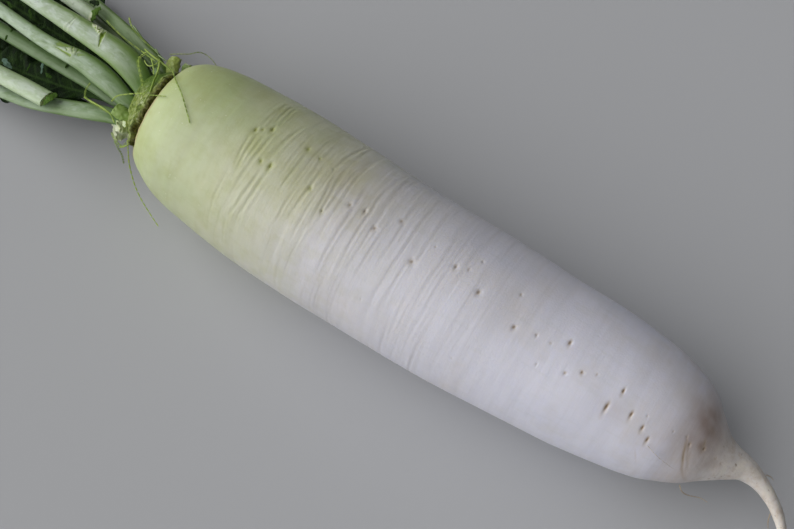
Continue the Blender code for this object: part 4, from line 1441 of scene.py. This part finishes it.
def make_crown():
    """The lumpy, fibrous stem, as a closed piece."""
    ahead, radius, turns = crown_grid()
    spots = np.stack([ahead, radius * np.cos(turns), radius * np.sin(turns)], axis=-1).reshape(-1, 3)

    def rough(sizes, seed):
        """The random field on the crown, with lumps of the given sizes in mm."""
        return lumps(spots / np.array(sizes), seed).reshape(ahead.shape)

    phase = ((ahead + 1.3 * rough((9, 5, 5), 31) + 0.4 * rough((3, 1.6, 1.6), 32)) / COLLAR_SPACING) % 1.0
    ridge = np.where(phase < COLLAR_TOP, phase / COLLAR_TOP, (1 - phase) / (1 - COLLAR_TOP))
    strength = (0.5 + 0.6 * rough((4, 7, 7), 33)).clip(0.1, 1.1)
    inside = np.interp(ahead, [-8, -5, 6, 7.4], [0.3, 1, 1, 0.1])
    collars = 0.3 * strength * (ridge - 0.5)
    height = inside * (collars + rough((4, 4, 4), 34) + 0.6 * rough((2, 2, 2), 37))
    knob = np.zeros_like(height)
    for distance, angle, size, tall in KNOBS:
        to_angle = turn_between(np.degrees(turns), angle) * radius * math.pi / 180
        near = np.exp(-(((ahead - distance) ** 2 + to_angle**2) / size**2) ** 1.4)
        height += tall * near
        knob = np.maximum(knob, near)
    grit = rough((1.1, 1.1, 1.1), 36)
    height += inside * (1 - 0.75 * knob) * (0.5 * np.abs(rough((1.3, 1.3, 1.3), 35)) + 0.3 * grit)
    off_sheath = turn_between(np.degrees(turns), SHEATH_ANGLE) + 6 * rough((3, 3, 3), 39)
    sheath = np.exp(-((off_sheath / SHEATH_SPREAD) ** 4)) * np.interp(ahead, [0.8, 3.0], [1, 0])
    height = height * (1 - 0.85 * sheath) + sheath * np.interp(ahead, [-8, -4, 2], [2.6, 1.8, 0.2])
    radius = (radius + height) * MM
    points = np.stack([root_low.x + ahead * MM + 0 * radius,
                       crown_middle.y + -np.sin(turns) * radius,
                       crown_middle.z + np.cos(turns) * radius], axis=-1)
    marks = {"knob": knob, "sheath": sheath, "grit": (0.5 + 0.5 * grit).clip(0, 1),
             "crevice": np.interp(ahead + 1.2 * rough((6, 3, 3), 38), [2.4, 5.2], [0, 1])}
    return closed_tube("crown_tissue", points[::-1], {name: level[::-1] for name, level in marks.items()})


# %% [markdown]
# Torn tissue changes colour with its height: flakes that stick out are a pale cream, and the
# hollows between them are a darker olive. A noise alone would not know what is high, so the mesh
# keeps the fine grit of the relief as a mark, beside the marks for knobs, sheath and crevice, and
# the finish is mixed from those.

# %% Crown tissue
CROWN_STOPS = [(0.32, tone(80, 102, 20)), (0.44, tone(104, 124, 40)), (0.54, tone(130, 146, 66)),
               (0.66, tone(98, 112, 32))]
PALE_FLAKE, KNOB_GREEN = tone(192, 202, 160), tone(150, 162, 98)
DEEP_OLIVE, FIBRE_OLIVE = tone(60, 80, 18), tone(72, 92, 26)
CREVICE_BROWN_AND_SHADE, CREVICE_LIGHT = tone(60, 58, 14), tone(104, 108, 40)
SHEATH_LIGHT, SHEATH_DARK = tone(96, 124, 44), tone(66, 92, 24)


def crown_finish():
    """Crumbly olive and cream-green tissue, dark brown against the root, partly as painted shade in the
    crevice, and the sheath.
    """
    skin = Finish("crown_tissue", 0.62)
    place = skin.place()
    fibres = skin.streaks(place, (620.0, 900.0, 900.0), 4.0, 0.65, 0.4)
    cloud = skin.noise(place, 210.0, 4.0, 0.6)
    colour = skin.ramp(cloud, CROWN_STOPS)
    flakes = skin.times(skin.band(skin.mark("grit"), 0.45, 0.75), skin.band(fibres, 0.4, 0.56))
    flakes = skin.times(flakes, skin.band(skin.noise(place, 120.0), 0.4, 0.56, 0.35, 1.0))
    colour = skin.mix(skin.times(flakes, 0.9), colour, PALE_FLAKE)
    colour = skin.mix(skin.band(skin.mark("knob"), 0.3, 0.9, 0.0, 0.8), colour, KNOB_GREEN)
    colour = skin.mix(skin.band(skin.mark("grit"), 0.42, 0.18, 0.0, 0.8), colour, DEEP_OLIVE)
    colour = skin.mix(skin.band(fibres, 0.56, 0.7, 0.0, 0.55), colour, FIBRE_OLIVE)
    # Dark brown in the crevice against the root: a dried edge, darkened as painted shade.
    brown_and_shade = skin.times(skin.mark("crevice"), skin.band(cloud, 0.2, 0.5, 0.75, 1.0))
    colour = skin.mix(brown_and_shade, colour, skin.mix(skin.band(fibres, 0.45, 0.62), CREVICE_BROWN_AND_SHADE, CREVICE_LIGHT))
    smooth = skin.mix(skin.band(fibres, 0.4, 0.62), SHEATH_LIGHT, SHEATH_DARK)
    colour = skin.mix(skin.mark("sheath"), colour, smooth)
    skin.wet(0.0010, (1.0, 0.9, 0.5), 0.1)
    skin.gloss(0.25)
    skin.bump(fibres, 0.0006, 0.8)
    return skin.done(colour, skin.band(cloud, 0.3, 0.7, 0.5, 0.7))


finish_piece(make_crown(), crown_finish(), "crown_tissue", "crown")

# %% [markdown]
# ## The young leaves
#
# Between the stalks lie a few small leaves, crumpled and dark. A leaf is a stalk that widens into
# a thin blade. The blade is a closed sheet about half a millimetre thick, so it has a front and a
# back. Its edge is drawn in between lobes, its rim is ruffled in waves that grow towards the
# edge, and side veins slant away from a thick midrib.

# %% Make a leaf
LEAF_RINGS, LEAF_COLUMNS = 130, 64
LEAF_SINK = 1.5 * MM
BLADE_THICKNESS = 0.45
LOBE_SPACING, VEIN_SPACING = 17, 7.5
LOWEST_BLADE = 0.2 * MM


def sheet_turns(rings, columns):
    """For a flattened tube: the share across from -1 to 1, and 1 on its upper side or -1 below."""
    turns = np.tile(np.linspace(-math.pi, math.pi, columns, endpoint=False), rings)
    return np.arcsin(np.sin(turns)) * 2 / math.pi, np.where(np.cos(turns) > 0, 1.0, -1.0)


def leaf(name, seed):
    """One leaf as a new piece, on the middle line and widths of its solid."""
    knots, line = follow_solid(name, leaf_section, LONG_STEP)
    place = np.repeat(np.linspace(-LEAF_SINK, knots[-2], LEAF_RINGS), LEAF_COLUMNS)
    share, upper = sheet_turns(LEAF_RINGS, LEAF_COLUMNS)
    width, thick = smooth_between(knots, line[:, 6:8], place).T / MM
    along = place / MM
    blade = np.interp(width, [2.6, 5.5], [0, 1])
    side_phase = np.where(share > 0, 0.0, 0.45)
    lobes = np.abs(np.sin(math.pi * (along / LOBE_SPACING + side_phase + seed * 0.3))) ** 3
    ragged = 1 + 0.05 * lumps(columns_of(along / 4, share > 0, seed), 41)
    across = share * width * (1 - 0.3 * blade * lobes) * ragged
    wave = np.sin(along / 2.3 + 2.5 * lumps(columns_of(along / 9, share, seed), 42) + 2 * side_phase)
    ruffle = blade * share**2 * (1.5 * wave + 0.6 * np.sin(along / 1.1 + 3 * side_phase))
    crumple = blade * lumps(columns_of(along / 6, across / 5, seed), 43)
    slant = (along - 0.8 * np.abs(across)) / VEIN_SPACING
    to_vein = (slant - np.round(slant)) * VEIN_SPACING
    vein = blade * np.exp(-((to_vein / 0.55) ** 2)) * (1 - share**2)
    rib = np.exp(-((across / 0.9) ** 2))
    half = np.interp(blade, [0, 1], [1, 0]) * thick * np.sqrt((1 - share**2).clip(0, 1))
    half = half + blade * (BLADE_THICKNESS / 2 + 0.5 * rib * (upper < 0) + 0.12 * vein * upper * -1)
    half = half * np.interp(np.abs(share), [0.94, 1.0], [1.0, 0.25])
    height = 0.18 * np.abs(across) * blade + ruffle + crumple - 0.15 * vein * upper + half * upper
    points = beside(knots, line, place, across * MM, height * MM)
    points[:, 2] = points[:, 2].clip(LOWEST_BLADE)
    marks = {"grain": columns_of(across, along, height) * MM, "rib": np.maximum(rib, 1 - blade), "vein": vein}
    marks = {mark: level.reshape(LEAF_RINGS, -1, *level.shape[1:]) for mark, level in marks.items()}
    return closed_tube(name + "_sheet", points.reshape(LEAF_RINGS, -1, 3), marks)


# %% [markdown]
# A young leaf is dark green between its veins and lighter along them, and its colours are made
# darker still as painted shade, because the leaves lie in the gaps under the stalks. The midrib and
# the side veins are marks on the mesh, so the colour meets the relief. The net of tiny veins is too
# fine for the mesh: the edges between the cells of a Voronoi texture give it. Most scraps have the
# same finish with a tint, because torn bits are paler.

# %% Leaf finish
# These leaf colours are darkened as painted shade for the gaps between the stalks.
LEAF_STOPS_WITH_PAINTED_SHADE = [(0.3, tone(11, 24, 7)), (0.5, tone(20, 39, 12)), (0.7, tone(42, 66, 23))]
NET_GREEN, VEIN_GREEN, RIB_GREEN = tone(26, 42, 17), tone(58, 84, 40), tone(50, 74, 32)
NET_SCALE = 620.0


def leaf_finish(name, tint=None):
    """Dark green leaf, darkened further as painted shade, with a paler midrib and fine net veins."""
    skin = Finish(name, 0.6)
    grain = skin.grain()
    cloud = skin.noise(grain, 160.0, 4.0, 0.6)
    inputs = {"Vector": grain, "Scale": NET_SCALE}
    net = skin.node("ShaderNodeTexVoronoi", inputs, feature="DISTANCE_TO_EDGE").outputs["Distance"]
    colour = skin.mix(skin.band(net, 0.10, 0.0, 0.0, 0.5), skin.ramp(cloud, LEAF_STOPS_WITH_PAINTED_SHADE), NET_GREEN)
    colour = skin.mix(skin.times(skin.mark("vein"), 0.6), colour, VEIN_GREEN)
    colour = skin.mix(skin.band(skin.mark("rib"), 0.3, 0.9, 0.0, 0.9), colour, RIB_GREEN)
    if tint:
        colour = skin.mix(skin.band(cloud, 0.3, 0.7, 0.95, 0.4), colour, tint)
    skin.bump(skin.band(net, 0.0, 0.15), 0.00025, 0.7)
    skin.gloss(0.12)
    return skin.done(colour, skin.band(cloud, 0.3, 0.7, 0.6, 0.78))


leaf_green = leaf_finish("leaf_green")
leaf_pale = leaf_finish("leaf_pale", tone(56, 88, 24))
leaf_flap = leaf_finish("leaf_flap", tone(94, 128, 50))
leaf_grey = leaf_finish("leaf_grey", tone(112, 142, 126))
LEAVES = ["young_leaf_1", "young_leaf_2", "lower_leaf_1", "lower_leaf_2", "lower_leaf_3"]
for order, name in enumerate(LEAVES):
    finish_piece(leaf(name, order), leaf_green, "leaf_blade", name)

# %% [markdown]
# Here and there a torn bit of leaf still clings to a stalk. Each scrap is a small curled blade
# that is placed beside a stalk's middle line, so it follows the frame too. A larger, paler flap
# hangs at the torn end of each snapped stalk.

# %% Leaf scraps: distance along in mm, shares across and outward, length, breadth, lean in degrees
SCRAPS = [
    (leaf_grey, "leaf_stalk_3", 82, -3.4, 0.0, 9, 2.6, 12),
    (leaf_grey, "leaf_stalk_3", 64, -1.5, -0.4, 7, 1.6, 55),
    (leaf_green, "leaf_stalk_3", 79, -1.5, -0.4, 7, 1.4, 50),
    (leaf_pale, "leaf_stalk_3", 58, -1.9, -0.6, 5, 2.0, 10),
    (leaf_pale, "leaf_stalk_3", 71, -2.3, -0.6, 5, 1.0, 70),
    (leaf_pale, "leaf_stalk_3", 92, 0.0, 0.7, 8, 1.5, 84),
    (leaf_pale, "leaf_stalk_3", 73.6, 0.8, 0.5, 4, 1.3, 10),
    (leaf_pale, "leaf_stalk_3", 50, 0.2, 0.9, 4, 1.3, 75),
    (leaf_pale, "leaf_stalk_2", 74.5, 0.95, 0.3, 4, 1.6, 10),
    (leaf_green, "leaf_stalk_2", 62, 1.2, 0.0, 6, 1.8, 8),
    (leaf_pale, "leaf_stalk_2", 85, 2.3, -0.7, 7, 1.8, 30),
    (leaf_green, "leaf_stalk_2", 73, 1.6, -0.5, 6, 2.2, -15),
    (leaf_pale, "leaf_stalk_2", 98, 1.5, -0.2, 6, 1.8, 20),
    (leaf_green, "leaf_stalk_1", 86, -1.0, 0.1, 6, 2.2, 25),
    (leaf_flap, "snapped_stalk_1", -4.2, 0.1, 0.8, 9.5, 4.6, 84),
    (leaf_flap, "snapped_stalk_2", -3.6, 0.1, 0.8, 8.5, 4.4, 84),
    (leaf_green, "snapped_stalk_2", 1.5, 1.2, 0.7, 6, 3.2, -15),
]
SCRAP_RINGS, SCRAP_COLUMNS = 26, 24
SCRAP_HALF = 0.14


def scrap(order, node, distance, across_share, outward_share, size, breadth, lean):
    """A curled bit of blade beside a stalk, leaning away from its line by some degrees."""
    knots, line = follow_solid(node, stalk_section, LONG_STEP)
    share = np.repeat(np.linspace(-1, 1, SCRAP_RINGS), SCRAP_COLUMNS)
    over, upper = sheet_turns(SCRAP_RINGS, SCRAP_COLUMNS)
    wide = breadth / 2 * np.sqrt((1 - share**2).clip(0.02, 1)) * (1 + 0.3 * share * math.sin(order))
    wide *= 1 + 0.5 * lumps(columns_of(share * 4, over, order), 51)
    run, side = share * size / 2, over * wide
    leaning = math.radians(lean)
    width = float(np.interp(distance * MM, knots, line[:, 6])) / MM
    back = float(np.interp(distance * MM, knots, line[:, 7])) / MM
    place = (distance + run * math.cos(leaning) - side * math.sin(leaning)) * MM
    across = across_share * width + run * math.sin(leaning) + side * math.cos(leaning)
    drop = back * (across.clip(-width, width) / width) ** 2
    crumple = lumps(columns_of(run, side, order) / 2, 52)
    height = outward_share * back + 0.5 - 0.5 * drop + 0.5 * crumple
    height = height + SCRAP_HALF * upper * (1 - np.abs(over)) ** 0.3
    points = beside(knots, line, place.clip(knots[0], knots[-1]), across * MM, height * MM)
    grain = columns_of(side, run, height).reshape(SCRAP_RINGS, -1, 3) * MM
    none = np.zeros((SCRAP_RINGS, SCRAP_COLUMNS))
    marks = {"grain": grain, "rib": none, "vein": none}
    return closed_tube(f"leaf_scrap_{order}", points.reshape(SCRAP_RINGS, -1, 3), marks)


for order, (finish, *row) in enumerate(SCRAPS, start=1):
    finish_piece(scrap(order, *row), finish, "leaf_blade")

# %% [markdown]
# ## Fibres and side roots
#
# Where stalks were torn off, single strands of them are left: springy, yellow-green and about a
# millimetre thick. Their solids already follow the right routes, so they stay. A Displace
# modifier makes a strand a little thicker or thinner, and a Subdivision modifier rounds it off.
# The fine side roots on the tail are the same kind of thing in beige. A strand is too thin to show
# much, so its finish is only two shades that take turns along it.

# %% Finish of the loose strands
def strand_finish(name, light, dark):
    """A dry strand: two shades that take turns along it, with a few darker flecks."""
    skin = Finish(name, 0.55)
    place = skin.place()
    drift = skin.noise(place, 90.0)
    flecks = skin.noise(place, 420.0, 3.0, 0.6)
    colour = skin.mix(skin.band(drift, 0.38, 0.62), light, dark)
    colour = skin.mix(skin.band(flecks, 0.55, 0.72, 0.0, 0.12), colour, scaled(dark, 0.6))
    skin.bump(flecks, 0.00003, 0.2)
    return skin.done(colour)


fibre_finish = strand_finish("loose_fibre", tone(168, 192, 92), tone(122, 148, 52))
# A brighter copy of the fibre finish: painted light for strands that lie in shade.
lit_fibre_finish = strand_finish("painted_lit_fibre", tone(206, 226, 118), tone(176, 202, 90))
pale_finish = strand_finish("pale_fibre", tone(226, 234, 190), tone(190, 206, 140))
torn_finish = strand_finish("torn_skin_strand", tone(150, 170, 124), tone(110, 134, 78))
side_root_finish = strand_finish("fine_side_root", tone(214, 200, 176), tone(176, 156, 128))
# A paler copy of the side root finish, as painted light on a thin root in its own contact shadow.
lit_side_root_finish = strand_finish("painted_lit_side_root", tone(238, 232, 226), tone(226, 218, 210))

# %% Strands of the solid model: swelling in mm, and the finish of the special ones
ROUNDING_LEVELS = 2
USUAL_SWELLING = -0.02
SWELLING = {"fibre_6": 0.32, "fibre_7": 0.14, "fibre_8": 0.14, "fibre_9": 0.16, "fibre_10": 0.1,
            "fibre_2": -0.04, "rootlet_2": -0.2}
# The paler finishes of fibre_1, fibre_6 and rootlet_2 are painted light on strands in shade.
SPECIAL_FINISH = {"rootlet_2": lit_side_root_finish, "fibre_1": lit_fibre_finish, "fibre_6": lit_fibre_finish,
                  "fibre_3": pale_finish}
strands = [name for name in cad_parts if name.startswith(("fibre_", "rootlet_"))]
for name in strands:
    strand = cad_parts[name]
    usual_finish = fibre_finish if name.startswith("fibre_") else side_root_finish
    for slot in strand.material_slots:
        slot.material = SPECIAL_FINISH.get(name, usual_finish)
    swelling = strand.modifiers.new("swelling", "DISPLACE")
    swelling.strength = SWELLING.get(name, USUAL_SWELLING) * MM
    swelling.mid_level = 0.0
    rounding = strand.modifiers.new("rounding", "SUBSURF")
    rounding.levels = rounding.render_levels = ROUNDING_LEVELS
print(f"strands with a new finish: {len(strands)}")

# %% [markdown]
# The solid model keeps only the main strands. Where stalks were torn off there are more of them,
# lying close over the crown and the stalk bases, so a few are added here. Each follows a route
# of points, is thicker at the torn end and is never quite even. Four of them are narrow shreds of
# stalk skin and have its duller green.

# %% Extra strands: finish, points in mm, then the radius at each end in mm
EXTRA_STRANDS = [
    (fibre_finish, [(-148.3, 18.6, 57), (-144, 12.6, 61.6), (-141, 6, 64.6), (-139, 0.6, 65)], 0.5, 0.42),
    (fibre_finish, [(-153.9, 18.6, 55), (-149.6, 15.2, 57.5), (-145, 10.4, 61)], 0.34, 0.26),
    (fibre_finish, [(-160.2, 21.4, 53.4), (-153.3, 19.7, 55.4), (-148, 19, 56.4), (-143.5, 18.2, 57.4),
                    (-140.6, 17.4, 58)], 0.55, 0.4),
    (torn_finish, [(-174.4, 29.9, 49.6), (-169.5, 27.8, 50.8), (-161.8, 25, 51.8), (-154.4, 23.5, 52.8),
                   (-147.8, 21.3, 54)], 0.4, 0.34),
    (torn_finish, [(-170.6, 27.7, 49.4), (-164.6, 25.2, 51), (-158.5, 24.6, 52), (-152.1, 22.4, 54)],
     0.3, 0.26),
    (torn_finish, [(-155.6, 24, 54), (-154.2, 23.6, 55), (-152.1, 22.1, 54)], 0.3, 0.24),
    (torn_finish, [(-152.1, 21.8, 55), (-148.8, 21.3, 56), (-145.4, 21.1, 56)], 0.36, 0.28),
    (fibre_finish, [(-146.8, -22.6, 36), (-143.5, -22.1, 40), (-141.1, -20.6, 43), (-140.2, -18.4, 46)],
     0.42, 0.34),
    (fibre_finish, [(-173.8, -12.7, 44), (-167.6, -13.3, 46.6), (-161.8, -13.4, 48), (-154.4, -14.6, 49.6),
                    (-150.3, -17.2, 50)], 0.42, 0.36),
    (fibre_finish, [(-149.5, 20.3, 56), (-149.1, 16.7, 57), (-151.7, 14.4, 56), (-156.6, 16.2, 54)],
     0.34, 0.26),
]
STRAND_RINGS, STRAND_COLUMNS = 48, 12


def extra_strand(name, route, thick, thin, seed):
    """A round, slightly uneven strand through the points of a route."""
    route = np.array(route, float)
    knots = path_lengths(route)
    places = np.linspace(0, knots[-1], STRAND_RINGS)
    middle = smooth_between(knots, route, places)
    heading = unit(np.gradient(middle, axis=0))
    side = unit(np.cross(heading, (0.3, 0.2, 1.0)))
    upward = np.cross(side, heading)
    turns = np.linspace(0, 2 * math.pi, STRAND_COLUMNS, endpoint=False)
    pointed = np.interp(places, [0, 0.5, knots[-1] - 0.6, knots[-1]], [0.5, 1, 1, 0.3])
    radius = np.linspace(thick, thin, STRAND_RINGS) * pointed
    radius = radius * (1 + 0.15 * lumps(columns_of(places / 1.5, 0, seed), 81))
    ring = side[:, None] * np.cos(turns)[None, :, None] + upward[:, None] * np.sin(turns)[None, :, None]
    return closed_tube(name, (middle[:, None] + ring * radius[:, None, None]) * MM)


for order, (finish, route, thick, thin) in enumerate(EXTRA_STRANDS, start=1):
    finish_piece(extra_strand(f"extra_strand_{order}", route, thick, thin, order), finish, "loose_fibre")

# %% [markdown]
# ## Check and finish
#
# The finer model is meant to stay inside the solid model's box, give or take a little. Its box is
# printed, and the most that it stands out of the solid model's box.

# %% Boxes and the end
low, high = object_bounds()
print("box in mm:", [round(side / MM, 1) for side in high - low])
past = max(*(cad_low - low), *(high - cad_high))
print(f"at most {past / MM:.1f} mm past the solid model's box")
